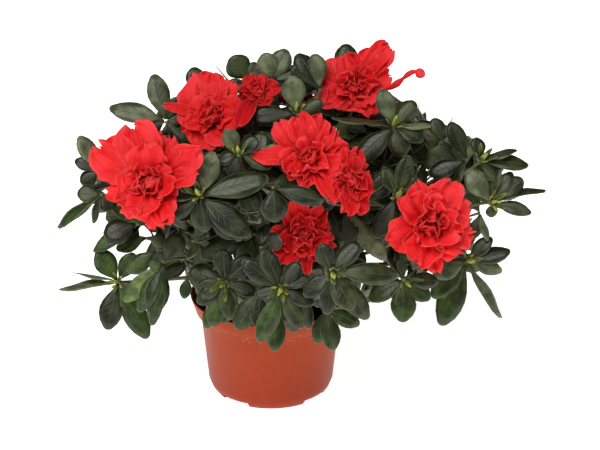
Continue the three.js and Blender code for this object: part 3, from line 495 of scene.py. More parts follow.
class Limb:
    """A smooth limb line from a start and its direction to an end and its direction."""

    def __init__(self, start, out, end, end_out, stiffness, root=1.0, tip=1.0):
        span = np.linalg.norm(end - start) * stiffness
        self.corners = np.array((start, start + out * span, end - end_out * span, end))
        self.root = root
        self.tip = tip

    def points(self, parts):
        t = np.atleast_1d(np.asarray(parts, float))[:, None]
        a, b, c, d = self.corners
        return a * (1 - t) ** 3 + b * 3 * t * (1 - t) ** 2 + c * 3 * t * t * (1 - t) + d * t ** 3

    def at(self, part):
        return self.points(part)[0]

    def tangent(self, part):
        ends = self.points([max(part - NUDGE, 0), min(part + NUDGE, 1)])
        return unit(ends[1] - ends[0])


VIEW_TARGET = np.array((22.0, 0.0, 131.0))  # the middle of the view, in mm
FRAME = (600, 450)  # the view's width and height in pixels


def view_frame():
    """The eye, the view's three directions, its distance and the millimetres a pixel spans there."""
    stage = bpy.context.scene.azalea.stage
    level, rise = math.cos(stage.elevation), math.sin(stage.elevation)
    ahead, up = np.array((0.0, level, -rise)), np.array((0.0, rise, level))
    distance = stage.distance / MM
    eye = VIEW_TARGET - ahead * distance
    return eye, RIGHT, up, ahead, distance, stage.view_width / MM / FRAME[0]


def seen(x, y, depth):
    """The point with the given y that shows at a pixel of the front view."""
    eye, right, up, ahead, distance, pixel = view_frame()
    way = ahead * distance + right * (x - FRAME[0] / 2) * pixel + up * (FRAME[1] / 2 - y) * pixel
    return eye + way * (depth - eye[1]) / way[1]


def shown(points):
    """The pixels of the front view at which points show."""
    eye, right, up, ahead, distance, pixel = view_frame()
    gap = points - eye
    scale = distance / (gap @ ahead) / pixel
    return np.column_stack((FRAME[0] / 2 + gap @ right * scale, FRAME[1] / 2 - gap @ up * scale))


def in_crown(points):
    """True where points show inside the crown's outline and outside its openings."""
    spots = shown(points)
    a = np.array(OUTLINE, float)
    b = np.roll(a, -1, 0)
    x, y = spots[:, 0, None], spots[:, 1, None]
    spans = (a[:, 1] > y) != (b[:, 1] > y)
    rise = np.where(a[:, 1] == b[:, 1], 1, b[:, 1] - a[:, 1])
    crossed = spans & (x < a[:, 0] + (y - a[:, 1]) * (b[:, 0] - a[:, 0]) / rise)
    holes = np.array(OPENINGS, float)
    open_here = (np.hypot(x - holes[:, 0], y - holes[:, 1]) < holes[:, 2] + OPENING_MARGIN).any(1)
    return (crossed.sum(1) % 2 == 1) & ~open_here


MASS_WAYS = np.array([heading(m.bearing, m.pitch) for m in MASSES])
MASS_BORDERS = [
    np.array([unit(own - other) for k, other in enumerate(MASS_WAYS) if k != index])
    for index, own in enumerate(MASS_WAYS)
]
BLOOM_AT = np.array([HEART + heading(b.bearing, b.pitch) * b.reach for b in BLOOMS])
BLOOM_AXES = np.array([heading(*b.look) for b in BLOOMS])
BLOOM_RADII = np.array([b.radius for b in BLOOMS])


def trunk_axis(height):
    foot = np.array((0.0, 0.0, TRUNK["foot"]))
    head = HEART + UP * (TRUNK["top"] - HEART[2])
    return between(foot, head, (height - TRUNK["foot"]) / (TRUNK["top"] - TRUNK["foot"]))


def trunk_radius(height):
    wood = bpy.context.scene.azalea.wood
    root, foot, top = wood.root_radius / MM, wood.foot_radius / MM, wood.top_radius / MM
    flare_top = TRUNK["foot"] + TRUNK["flare"]
    if height < flare_top:
        return between(root, foot, math.sqrt(max(0, height - TRUNK["foot"]) / TRUNK["flare"]))
    return between(foot, top, (height - flare_top) / (TRUNK["top"] - flare_top))


def mass_at(point):
    """The mass in whose space a point lies."""
    return int(np.argmax(MASS_WAYS @ (point - HEART)))


def border_room(mass, points):
    """Room from points to the border of a mass's space, a wedge about its leading shoot."""
    return ((points - HEART) @ MASS_BORDERS[mass].T).min(1)


def bloom_middles():
    """Where the blooms' middles are: as seen in the front view, or by the rule where they don't show."""
    middles = []
    for bloom, at in zip(BLOOMS, BLOOM_AT):
        if bloom.x is None:
            middles.append(at - UP * bloom.drop)
        else:
            middles.append(seen(bloom.x, bloom.y, at[1] if bloom.depth is None else bloom.depth))
    return np.array(middles)


def near_bloom(points, room, middles=BLOOM_AT):
    """True where a point is within some room of a bloom, or in front of its face."""
    gap = points[:, None] - middles
    height = np.einsum("pbi,bi->pb", gap, BLOOM_AXES)
    flat = np.sqrt(np.maximum(0, (gap ** 2).sum(2) - height ** 2))
    faced = (height > 0) & (height < FACE["reach"]) & (flat < FACE["share"] * BLOOM_RADII)
    inside = (flat / (BLOOM_RADII + room)) ** 2 + (height / (FACE["half_height"] + room)) ** 2 < 1
    return (faced | inside).any(1)


def line_distance(points, pieces):
    """Least distance of each point to the straight pieces given."""
    start, step = pieces[:, 0], pieces[:, 1] - pieces[:, 0]
    gap = points[:, None] - start
    part = np.clip(np.einsum("psi,si->ps", gap, step) / (step ** 2).sum(1), 0, 1)
    return np.linalg.norm(gap - part[..., None] * step, axis=2).min(1)


def is_clear(points, pieces, room, bloom_room, middles=BLOOM_AT):
    """True where points are clear of the pot, of every bloom and of the limbs given."""
    pot = bpy.context.scene.azalea.pot
    low = points[:, 2] < pot.height / MM + CLEAR["pot"]
    inside = np.hypot(points[:, 0], points[:, 1]) < pot.rim_radius / MM + CLEAR["pot"]
    return ~(low & inside) & ~near_bloom(points, bloom_room, middles) & (line_distance(points, pieces) > room)


def crown_point(h, bearing, part):
    """A point of the crown at a height share h, from -1 at the lowest to 1 at the top, and a bearing."""
    spread = math.sqrt(1 - h * h) if h > 0 else 1 - CROWN["tuck"] * (-h) ** CROWN["power"]
    offset = (CROWN["width"] * spread * math.cos(bearing), CROWN["depth"] * spread * math.sin(bearing),
              (CROWN["rise"] if h > 0 else CROWN["drop"]) * h)
    return CROWN["centre"] + np.array(offset) * part


def crown_facing(point):
    """Whorls look outward from the crown and a little up."""
    squares = np.array((CROWN["width"], CROWN["depth"], CROWN["rise"])) ** 2
    return unit(unit((point - CROWN["centre"]) / squares) * CROWN["outward"] + UP * CROWN["upward"])


# Growth of the limbs and the leaves.

class Whorl:
    """A whorl of leaves at the end of a shoot, of the kind crown, inner or shown."""

    def __init__(self, kind, number, mass, at, look=None, lead=False, tips=()):
        inner = kind == "inner"
        first, step = WHORL_SEEDS[kind]
        self.draw = seeded(first + step * number)
        self.mass = mass
        self.at = at
        self.lead = lead
        self.tips = tips
        self.leaves = INNER["leaves"] if inner else WHORL["leaves"]
        self.part = INNER["share"] if inner else 1.0
        self.bud = not tips and not inner
        self.facing = heading(*look) if look else crown_facing(at)

    def neck(self):
        """Where its shoot ends."""
        return self.at - self.facing * WHORL["neck"]

    def open_hub(self):
        """Sets the directions in which its leaves stand."""
        turn = self.draw() * 2 * math.pi
        jitter = [WHORL["spread"] * (self.draw() - 0.5) for _ in range(self.leaves)]
        self.angles = [turn + (k + jitter[k]) / self.leaves * 2 * math.pi for k in range(self.leaves)]


def beside(limb, part, target):
    """A point beside a bough where a lesser limb leaves it towards a target, and the way it leaves."""
    at = limb.at(part)
    out = sideways(target - at, limb.tangent(part))
    return at + out * (between(limb.root, limb.tip, part) + BOUGH["gap"]), out


def grow_boughs():
    """Main boughs leave the trunk one above the other, the flattest lowest, the others a main bough."""
    wood = bpy.context.scene.azalea.wood
    root, tip = wood.bough_radius / MM, wood.bough_tip_radius / MM
    tips = [HEART + way * m.reach * BOUGH["share"] for way, m in zip(MASS_WAYS, MASSES)]
    mains = [k for k, m in enumerate(MASSES) if m.main]
    boughs = {}
    for rank, k in enumerate(sorted(mains, key=lambda k: MASSES[k].pitch)):
        height = between(BOUGH["lowest"], BOUGH["highest"], rank / (len(mains) - 1))
        out = heading(MASSES[k].bearing, 0)
        start = trunk_axis(height) + out * (BOUGH["room"] * trunk_radius(height - root) + JOINT_GAP)
        boughs[k] = Limb(start, out, tips[k], MASS_WAYS[k], STIFF["bough"], root, tip)
    for k, mass in enumerate(MASSES):
        if not mass.main:
            parent = boughs[mains[int(np.argmax(MASS_WAYS[mains] @ MASS_WAYS[k]))]]
            start, out = beside(parent, BOUGH["fork"], tips[k])
            boughs[k] = Limb(start, out, tips[k], MASS_WAYS[k], STIFF["bough"], BOUGH["side_root"], tip)
    return boughs


def grow_stalks(boughs):
    """Each bloom's stalk leaves the bough whose mass the bloom stands in."""
    stalks = []
    for at, axis, bloom in zip(bloom_middles(), BLOOM_AXES, BLOOMS):
        start, out = beside(boughs[mass_at(at)], STALK["fork"], at)
        end = at - axis * bloom.radius * STALK["depth"] * STALK["share"]
        stalks.append(Limb(start, out, end, axis, STIFF["stalk"], STALK["root"], STALK["tip"]))
    return stalks


def scattered(rule, spacing, taken, part_of):
    """New places in the crown, with their masses, that keep a distance from those taken and from blooms."""
    draw = seeded(rule["seed"])
    for _ in range(rule["tries"]):
        h = rule["lowest"] + (1 - rule["lowest"]) * draw()
        bearing = 2 * math.pi * draw()
        at = crown_point(h, bearing, part_of(draw()))
        if min(np.linalg.norm(np.array(taken) - at, axis=1)) < spacing:
            continue
        mass = mass_at(at)
        if near_bloom(at[None], rule["bloom"])[0] or border_room(mass, at[None])[0] < rule["border"]:
            continue
        taken.append(at)
        yield mass, at


def scatter_whorls():
    """The leading whorl of each mass, then as many more over the crown as keep their distance."""
    leads = [HEART + way * m.reach for way, m in zip(MASS_WAYS, MASSES)]
    places = [(k, leads[k], m.look, True) for k, m in enumerate(MASSES)]
    places += scattered(FILL, FILL["spacing"], leads, lambda part: 1 - FILL["depth"] * part ** 2)
    return [Whorl("crown", number, *place) for number, place in enumerate(places)]


def scatter_inner(whorls):
    """Smaller whorls deeper in the crown, on finer twigs."""
    spacing = bpy.context.scene.azalea.foliage.fine_spacing / MM
    places = scattered(INNER, spacing, [w.at for w in whorls],
                       lambda part: between(INNER["nearest"], INNER["furthest"], math.sqrt(part)))
    return [Whorl("inner", number, *place) for number, place in enumerate(places)]


def twig(root, out, whorl):
    """A twig from a stem to a whorl, finer where the whorl is smaller."""
    fine = whorl.part ** 0.5
    return Limb(root, out, whorl.neck(), whorl.facing, STIFF["twig"], TWIG["root"] * fine, TWIG["tip"] * fine)


def fork(stem, whorl, turn, pieces):
    """A twig from a stem to a whorl, tried from several places on the stem, and the last turn used."""
    for _ in range(FORK["tries"]):
        turn = (turn + FORK["step"]) % 1
        part = between(FORK["first"], FORK["last"], turn)
        root, onward = stem.at(part), stem.tangent(part)
        limb = twig(root, unit(onward + sideways(whorl.at - root, onward)), whorl)
        way = limb.points(WAY_PARTS)
        if (is_clear(way, pieces, CLEAR["twig"], CLEAR["twig_bloom"]).all()
                and (border_room(whorl.mass, way) >= CLEAR["twig_border"]).all()):
            return limb, turn
    return None, turn


def fit_to_view(whorls):
    """Moves the leading whorls to where they show, adds those that only show, and thins the rest there."""
    leads = {MASSES[w.mass].name: w for w in whorls if w.lead}
    added = []
    for number, item in enumerate(SHOWN):
        at = seen(item.x, item.y, item.depth)
        if item.mass:
            leads[item.mass].at = at
            leads[item.mass].tips = item.tips
            leads[item.mass].bud = item.bud
        else:
            added.append(Whorl("shown", number, mass_at(at), at, tips=item.tips))
    hubs = np.array([(item.x, item.y, item.depth) for item in SHOWN], float)
    kept = []
    for whorl in whorls:
        gap = np.linalg.norm(hubs[:, :2] - shown(whorl.at[None])[0], axis=1)
        veils = (gap < SEEN_ROOM["pixels"]) & (whorl.at[1] < hubs[:, 2] + SEEN_ROOM["behind"])
        whorl.bud = whorl.bud and (whorl.at[1] > 0 or whorl.lead)
        if whorl.lead or not veils.any():
            kept.append(whorl)
    return kept + added


def grow_plant():
    """The whole plant's limbs and whorls: boughs, stalks, and shoots as pairs of limb and whorl."""
    boughs = grow_boughs()
    stalks = grow_stalks(boughs)
    parts = np.linspace(0, 1, LINE_STEPS + 1)
    lines = [limb.points(parts) for limb in [*boughs.values(), *stalks]]
    pieces = np.concatenate([np.stack((line[:-1], line[1:]), 1) for line in lines])
    whorls = fit_to_view(scatter_whorls())
    inner = scatter_inner(whorls)
    shoots = []
    for k in range(len(MASSES)):
        tip_way = boughs[k].tangent(1)
        lead, *others = sorted((w for w in whorls if w.mass == k), key=lambda w: not w.lead)
        start = boughs[k].at(1) + tip_way * JOINT_GAP
        stem = Limb(start, tip_way, lead.neck(), lead.facing, STIFF["stem"], STEM["root"], STEM["tip"])
        own = [(stem, lead)]
        turn = 0.0
        for whorl in others:
            limb, turn = fork(stem, whorl, turn, pieces)
            if whorl.tips and not limb:
                limb = twig(stem.at(FORK["first"]), stem.tangent(FORK["first"]), whorl)
            if limb:
                own.append((limb, whorl))
        carriers = [limb for limb, _ in own]
        for whorl in (w for w in inner if w.mass == k):
            gaps = [np.linalg.norm(c.points(NEAR_PARTS) - whorl.at, axis=1).min() for c in carriers]
            limb, turn = fork(carriers[int(np.argmin(gaps))], whorl, turn, pieces)
            if limb:
                own.append((limb, whorl))
        shoots += own
    for _, whorl in shoots:
        whorl.open_hub()
    return boughs, stalks, shoots, pieces


Blade = namedtuple("Blade", "base run lift length width tint")


def leaf_blade(whorl, angle, pitch, width, length, tint):
    """A leaf that stands out from a whorl's hub."""
    out = around(whorl.facing, angle)
    side = np.cross(whorl.facing, out)
    run = out * math.cos(pitch) + whorl.facing * math.sin(pitch)
    return Blade(whorl.at + out * WHORL["hub"], run, np.cross(run, side), length, width, tint)


def seen_blade(whorl, tip, tint):
    """A leaf from a whorl to a tip given in the view. It leans back as it rises and forward as it hangs."""
    eye, *_, pixel = view_frame()
    foot = shown(whorl.at[None])[0]
    across, rise = tip.x - foot[0], foot[1] - tip.y
    reach = math.hypot(across, rise)
    end = seen(tip.x, tip.y, whorl.at[1] + SEEN["lean"] * (reach * pixel) * rise / max(1, reach))
    run = unit(end - whorl.at)
    lift = sideways(unit(unit(eye - whorl.at) + UP * SEEN["up"]), run)
    roll = math.radians(tip.roll) * (1 if across < 0 else -1)
    lift = lift * math.cos(roll) + np.cross(run, lift) * math.sin(roll)
    base = whorl.at + run * SEEN["foot"]
    length = np.linalg.norm(end - base)
    run = unit(end + lift * LEAF["droop"] * length - base)
    return Blade(base, run, sideways(lift, run), length, tip.width, tint)


def midline(blades):
    """Points along the midribs of leaves."""
    base, run = (np.array([getattr(b, key) for b in blades])[:, None] for key in ("base", "run"))
    length = np.array([b.length for b in blades])[:, None, None]
    return (base + run * length * MIDRIB_PARTS).reshape(-1, 3)


def veils(points, front):
    """True where a point shows just before one of the leaves placed by the view."""
    spots, others = shown(points), shown(front)
    near = np.linalg.norm(spots[:, None] - others, axis=2) < SEEN_ROOM["veil"]
    return (near & (points[:, 1, None] < front[:, 1] + SEEN_ROOM["before"])).any(1)


def blade_fits(blade, mass, pieces, front, middles):
    """True where a leaf keeps to its mass's space, inside the crown, and clear of limbs, blooms and pot."""
    side = np.cross(blade.lift, blade.run) * blade.width / 2
    middle = blade.base + blade.run * blade.length * LEAF["widest"]
    end = blade.base + blade.run * blade.length - blade.lift * LEAF["droop"] * blade.length
    blunt = side * LEAF["end"]
    corners = np.array((middle + side, middle - side, end + blunt, end - blunt))
    if (border_room(mass, corners) < -CLEAR["interlock"]).any():
        return False
    within = middle + np.outer(LEAF["inside"], side)
    inside = np.concatenate([between(blade.base, end, EDGE_PARTS), within, corners])
    if not in_crown(inside).all() or veils(inside, front).any():
        return False
    outline = [between(a, b, EDGE_PARTS) for wide, narrow in ((0, 2), (1, 3))
               for a, b in ((blade.base, corners[wide]), (corners[wide], corners[narrow]))]
    return is_clear(np.concatenate(outline), pieces, CLEAR["limb"], CLEAR["bloom"], middles).all()


def shown_leaves(shoots):
    """The leaves that the view places."""
    blades = []
    for _, whorl in shoots:
        for tip in (Tip(*values) for values in whorl.tips):
            low = tip.y > SEEN_FRESH["low"] and tip.y > shown(whorl.at[None])[0][1]
            left = tip.x < SEEN_FRESH["left"] and tip.y > SEEN_FRESH["left_low"]
            dealt = FRESH if low or left else int(whorl.draw() * DEALT["greens"])
            blades.append(seen_blade(whorl, tip, dealt if tip.tint is None else tip.tint))
    return blades


def dealt_green(index, low):
    """The green of a shoot's leaves. Most of the low shoots are fresh green."""
    dealt = (index * DEALT["step"]) % 1
    if low and dealt < DEALT["fresh"]:
        return FRESH
    return DEEP_AND_SHADE if dealt < DEALT["deep"] else GREY if dealt < DEALT["grey"] else MID


def whorl_leaves(whorl, tint, fits):
    """A whorl's leaves, each in the first turn and size in which it finds room."""
    foliage = bpy.context.scene.azalea.foliage
    draw = whorl.draw
    blades = []
    for k, angle in enumerate(whorl.angles):
        steep = k % 2 == 1
        pitch = (LEAF["high"] if steep else LEAF["low"]) + LEAF["pitch"] * (draw() - 0.5)
        length = foliage.leaf_length / MM * whorl.part * (LEAF["steep"] if steep else 1)
        length *= 1 + LEAF["long"] * (draw() - 0.5)
        width = foliage.leaf_width / MM * whorl.part * (1 + LEAF["wide"] * (draw() - 0.5))
        for turn, part in TRIALS:
            pitched = math.radians(pitch + turn)
            blade = leaf_blade(whorl, angle, pitched, width * math.sqrt(part), length * part, tint)
            if fits(blade, whorl.mass):
                blades.append(blade)
                break
    return blades


def bud_leaves(whorl):
    """Young leaves that stand up round a bud, and its scales closer still."""
    young = bpy.context.scene.azalea.foliage.young_leaves
    draw = whorl.draw
    blades = []
    for k in range(young):
        place = k + YOUNG["first"] + YOUNG["turn"] * (draw() - 0.5)
        pitch = math.radians(drawn(draw, *YOUNG["pitch"]))
        length = drawn(draw, *YOUNG["length"]) * whorl.part
        angle = whorl.angles[0] + place * 2 * math.pi / young
        blades.append(leaf_blade(whorl, angle, pitch, length * YOUNG["slim"], length, 0))
    for k in range(SCALE["count"]):
        place = k + SCALE["turn"] * draw()
        length = drawn(draw, *SCALE["length"]) * whorl.part
        pitch = math.radians(drawn(draw, *SCALE["pitch"]))
        angle = whorl.angles[1] + place * 2 * math.pi / SCALE["count"]
        blades.append(leaf_blade(whorl, angle, pitch, length * SCALE["slim"], length, 1))
    return blades


def bud_of(whorl):
    """The place, axis and length of a whorl's bud. A bud that rests is small."""
    length = (BUD["open"] if whorl.bud else BUD["resting"]) * drawn(whorl.draw, *BUD["size"]) * whorl.part
    return whorl.at + whorl.facing * BUD["lift"], whorl.facing, length


def shoot_leaves(limb, whorl, tint, fits):
    """Leaves that stand singly along a shoot below its whorl."""
    full_length = bpy.context.scene.azalea.foliage.leaf_length / MM
    draw = whorl.draw
    blades = []
    gap = SINGLE["gap"] if whorl.part == 1 else SINGLE["fine_gap"]
    for part in np.arange(SINGLE["first"], SINGLE["last"], -gap):
        at, onward = limb.at(part), limb.tangent(part)
        out = around(onward, 2 * math.pi * draw())
        pitch = math.radians(drawn(draw, *SINGLE["pitch"]))
        run = out * math.cos(pitch) + onward * math.sin(pitch)
        lift = np.cross(run, np.cross(onward, out))
        length = full_length * drawn(draw, *SINGLE["length"]) * whorl.part
        green = (tint + DEALT["shift"]) % DEALT["greens"]
        blade = Blade(at + out * SINGLE["foot"], run, lift, length, length * SINGLE["slim"], green)
        if fits(blade._replace(base=at + out * SINGLE["clear_foot"]), whorl.mass):
            blades.append(blade)
    return blades


@functools.lru_cache(maxsize=1)
def grow_leaves():
    """Blades of all leaves by kind, the places of the buds, and the shoots that carry leaves."""
    _, _, shoots, pieces = grow_plant()
    kinds = {"crown": shown_leaves(shoots), "inner": [], "young": []}
    front = midline(kinds["crown"])
    fits = functools.partial(blade_fits, pieces=pieces, front=front, middles=bloom_middles())
    buds = []
    leafy = []
    for index, (limb, whorl) in enumerate(shoots):
        tint = dealt_green(index, whorl.at[2] < DEALT["low"])
        leaves = [] if whorl.tips else whorl_leaves(whorl, tint, fits)
        kinds["crown" if whorl.part == 1 else "inner"] += leaves
        if leaves or whorl.tips:
            leafy.append((limb, whorl))
        if not whorl.tips and len(leaves) < 2:
            continue
        if whorl.bud:
            kinds["young"] += bud_leaves(whorl)
        bud = bud_of(whorl)
        if whorl.bud or not whorl.tips:
            buds.append(bud)
        kinds["inner"] += shoot_leaves(limb, whorl, tint, fits)
    return kinds, buds, leafy


# Materials. LOW to END number the inputs of a Map Range node: what is read, and what it becomes.

LOW, HIGH, START, END = 1, 2, 3, 4
SMOOTH = {"interpolation_type": "SMOOTHSTEP"}
WHITE = (1, 1, 1, 1)


def add(tree, kind, inputs, output=0, **settings):
    """Adds one node: its settings, and its inputs as fixed values or as the sockets that feed them."""
    made = tree.nodes.new(kind)
    for key, value in settings.items():
        setattr(made, key, value)
    for key, value in inputs.items():
        if isinstance(value, bpy.types.NodeSocket):
            tree.links.new(value, made.inputs[key])
        else:
            made.inputs[key].default_value = value
    return made.outputs[output]


def layered(tree, base, *layers):
    """A base colour with others laid over it, each as far as its mask reaches."""
    for mask, over in layers:
        base = add(tree, "ShaderNodeMix", {0: mask, 6: base, 7: over}, 2, data_type="RGBA")
    return base


def colour(tone_or_code, gain=1.0, lift=0.0):
    """A colour with its alpha, made lighter or darker if asked."""
    rgb = linear(tone_or_code) if isinstance(tone_or_code, str) else tone_or_code
    return (*(min(1, part * gain + lift) for part in rgb), 1.0)


def per_metre(millimetres):
    """The scale of a pattern whose features are this wide."""
    return 1 / (millimetres * MM)


def finish_material(name, values, links_of):
    """A Principled material: its fixed values, and the sockets that links_of(tree) returns by input."""
    material = bpy.data.materials.get(name)
    if material:
        return material
    material = bpy.data.materials.new(name)
    material.use_nodes = True
    tree = material.node_tree
    shader = tree.nodes["Principled BSDF"]
    for key, value in values.items():
        shader.inputs[key].default_value = value
    for key, socket in links_of(tree).items():
        tree.links.new(socket, shader.inputs[key])
    return material


def pot_plastic(pot):
    """Polypropylene, thermoformed: satin, faintly streaked from the draw, with pale scuffs and peat dust.

    Streaks are 4 mm wide and 80 mm long, scuffs 3 mm long and a quarter as high, specks of peat 1.2 mm wide
    and the skin's grain 1.4 mm. The foot is deeper up to 50 mm, and scuffs lie under the lip's rim.
    """

    def links(tree):
        place = add(tree, "ShaderNodeTexCoord", {}, "Object")
        height = add(tree, "ShaderNodeSeparateXYZ", {0: place}, 2)
        pulled = add(tree, "ShaderNodeMapping", {"Vector": place, "Scale": (1, 1, 4 / 80)})
        rubbed = add(tree, "ShaderNodeMapping", {"Vector": place, "Scale": (1, 1, 4)})
        streaks = add(tree, "ShaderNodeTexNoise", {"Vector": pulled, "Scale": per_metre(4), "Detail": 3})
        scuffs = add(tree, "ShaderNodeTexNoise", {"Vector": rubbed, "Scale": per_metre(3), "Detail": 4})
        specks = add(tree, "ShaderNodeTexNoise", {"Vector": place, "Scale": per_metre(1.2), "Detail": 2})
        skin = add(tree, "ShaderNodeTexNoise", {"Vector": place, "Scale": per_metre(1.4), "Detail": 2})
        low = add(tree, "ShaderNodeMapRange", {0: height, HIGH: 50 * MM, START: 1, END: 0}, **SMOOTH)
        pale = add(tree, "ShaderNodeMapRange", {0: streaks, LOW: 0.35, HIGH: 0.75, END: 0.12}, **SMOOTH)
        above = add(tree, "ShaderNodeMapRange", {0: height, LOW: 55 * MM, HIGH: 59 * MM}, **SMOOTH)
        under_rim = {0: height, LOW: 63 * MM, HIGH: 68 * MM, START: 1, END: 0}
        below = add(tree, "ShaderNodeMapRange", under_rim, **SMOOTH)
        band = add(tree, "ShaderNodeMath", {0: above, 1: below}, operation="MULTIPLY")
        worn = add(tree, "ShaderNodeMapRange", {0: scuffs, LOW: 0.56, HIGH: 0.7, END: 0.55}, **SMOOTH)
        worn = add(tree, "ShaderNodeMath", {0: worn, 1: band}, operation="MULTIPLY")
        dust = add(tree, "ShaderNodeMapRange", {0: specks, LOW: 0.73, HIGH: 0.76, END: 0.8}, **SMOOTH)
        base = layered(
            tree, colour(pot.body_colour), (low, colour(pot.foot_colour)), (pale, colour("#b45433")),
            (worn, colour("#cf9077")), (dust, colour("#3a2418")),
        )
        satin = {0: streaks, LOW: 0.3, HIGH: 0.8, START: 0.4, END: 0.52}
        return {
            "Base Color": base,
            "Roughness": add(tree, "ShaderNodeMapRange", satin),
            "Normal": add(tree, "ShaderNodeBump", {"Height": skin, "Distance": 0.06 * MM, "Strength": 0.5}),
        }

    return finish_material("polypropylene_thermoformed", {"IOR": 1.49, "Specular IOR Level": 0.14}, links)


def moist_peat(pot):
    """Peat, milled: nearly black crumbs 2 mm wide with a few paler fibres."""

    def links(tree):
        place = add(tree, "ShaderNodeTexCoord", {}, "Object")
        pulled = add(tree, "ShaderNodeMapping", {"Vector": place, "Scale": (1, 6, 1)})
        crumbs = add(tree, "ShaderNodeTexNoise", {"Vector": place, "Scale": per_metre(2), "Detail": 5})
        fibres = add(tree, "ShaderNodeTexNoise", {"Vector": pulled, "Scale": per_metre(3.3), "Detail": 2})
        paler = add(tree, "ShaderNodeMapRange", {0: crumbs, LOW: 0.35, HIGH: 0.7}, **SMOOTH)
        strands = add(tree, "ShaderNodeMapRange", {0: fibres, LOW: 0.68, HIGH: 0.74, END: 0.7}, **SMOOTH)
        return {
            "Base Color": layered(tree, colour(pot.peat_colour), (paler, colour("#3d2a1d")),
                                  (strands, colour("#7a5c3e"))),
            "Normal": add(tree, "ShaderNodeBump", {"Height": crumbs, "Distance": MM, "Strength": 0.9}),
        }

    return finish_material("peat_milled", {"Roughness": 0.95, "Specular IOR Level": 0.2}, links)


def old_bark(wood):
    """Azalea bark, weathered: thin grey-brown flakes with darker cracks along the limb."""

    def links(tree):
        place = add(tree, "ShaderNodeTexCoord", {}, "Object")
        upright = add(tree, "ShaderNodeMapping", {"Vector": place, "Scale": (1, 1, 0.3)})
        cracks = add(tree, "ShaderNodeTexNoise", {"Vector": upright, "Scale": per_metre(2.4), "Detail": 5})
        patches = add(tree, "ShaderNodeTexNoise", {"Vector": place, "Scale": per_metre(11), "Detail": 3})
        flakes = add(tree, "ShaderNodeMapRange", {0: cracks, LOW: 0.38, HIGH: 0.56}, **SMOOTH)
        grey = add(tree, "ShaderNodeMapRange", {0: patches, LOW: 0.45, HIGH: 0.7, END: 0.6}, **SMOOTH)
        return {
            "Base Color": layered(tree, colour(wood.crack_colour), (flakes, colour(wood.bark_colour)),
                                  (grey, colour("#8b7863"))),
            "Normal": add(tree, "ShaderNodeBump", {"Height": cracks, "Distance": 0.8 * MM, "Strength": 0.9}),
        }

    return finish_material("bark_weathered", {"Roughness": 0.85, "Specular IOR Level": 0.3}, links)


def young_skin(name, base_colour, dark):
    """Young shoot, grown: smooth skin that turns to another tone in patches, with short hairs."""

    def links(tree):
        place = add(tree, "ShaderNodeTexCoord", {}, "Object")
        patches = add(tree, "ShaderNodeTexNoise", {"Vector": place, "Scale": per_metre(6), "Detail": 4})
        hairs = add(tree, "ShaderNodeTexNoise", {"Vector": place, "Scale": per_metre(0.7), "Detail": 2})
        turned = add(tree, "ShaderNodeMapRange", {0: patches, LOW: 0.4, HIGH: 0.65}, **SMOOTH)
        return {
            "Base Color": layered(tree, colour(base_colour), (turned, colour(dark))),
            "Normal": add(tree, "ShaderNodeBump", {"Height": hairs, "Distance": 0.2 * MM, "Strength": 0.6}),
        }

    return finish_material(name, {"Roughness": 0.6, "Sheen Weight": 0.25}, links)


def rim_mask(tree, across, along, inner, outer):
    """One on the margin of a blade, given how far a point is from its midrib and along it."""
    sides = add(tree, "ShaderNodeMapRange", {0: across, LOW: inner, HIGH: outer}, **SMOOTH)
    tip = add(tree, "ShaderNodeMapRange", {0: along, LOW: 0.5 + inner, HIGH: 0.5 + outer}, **SMOOTH)
    return add(tree, "ShaderNodeMath", {0: sides, 1: tip}, operation="MAXIMUM")


def blade_places(tree):
    """How far a point of a blade is from its midrib, from 0 to 0.5, and along it, from 0 to 1."""
    blade = add(tree, "ShaderNodeUVMap", {}, uv_map="Blade")
    beside = add(tree, "ShaderNodeMath", {0: add(tree, "ShaderNodeSeparateXYZ", {0: blade}), 1: 0.5},
                 operation="SUBTRACT")
    return (add(tree, "ShaderNodeMath", {0: beside}, operation="ABSOLUTE"),
            add(tree, "ShaderNodeSeparateXYZ", {0: blade}, 1))


VEIN_GAP = 5.285  # mm between side veins along the midrib, so a full leaf of 37 mm has seven pairs
VEIN_SLANT = 0.974  # mm that a side vein runs towards the tip for each mm that it goes aside


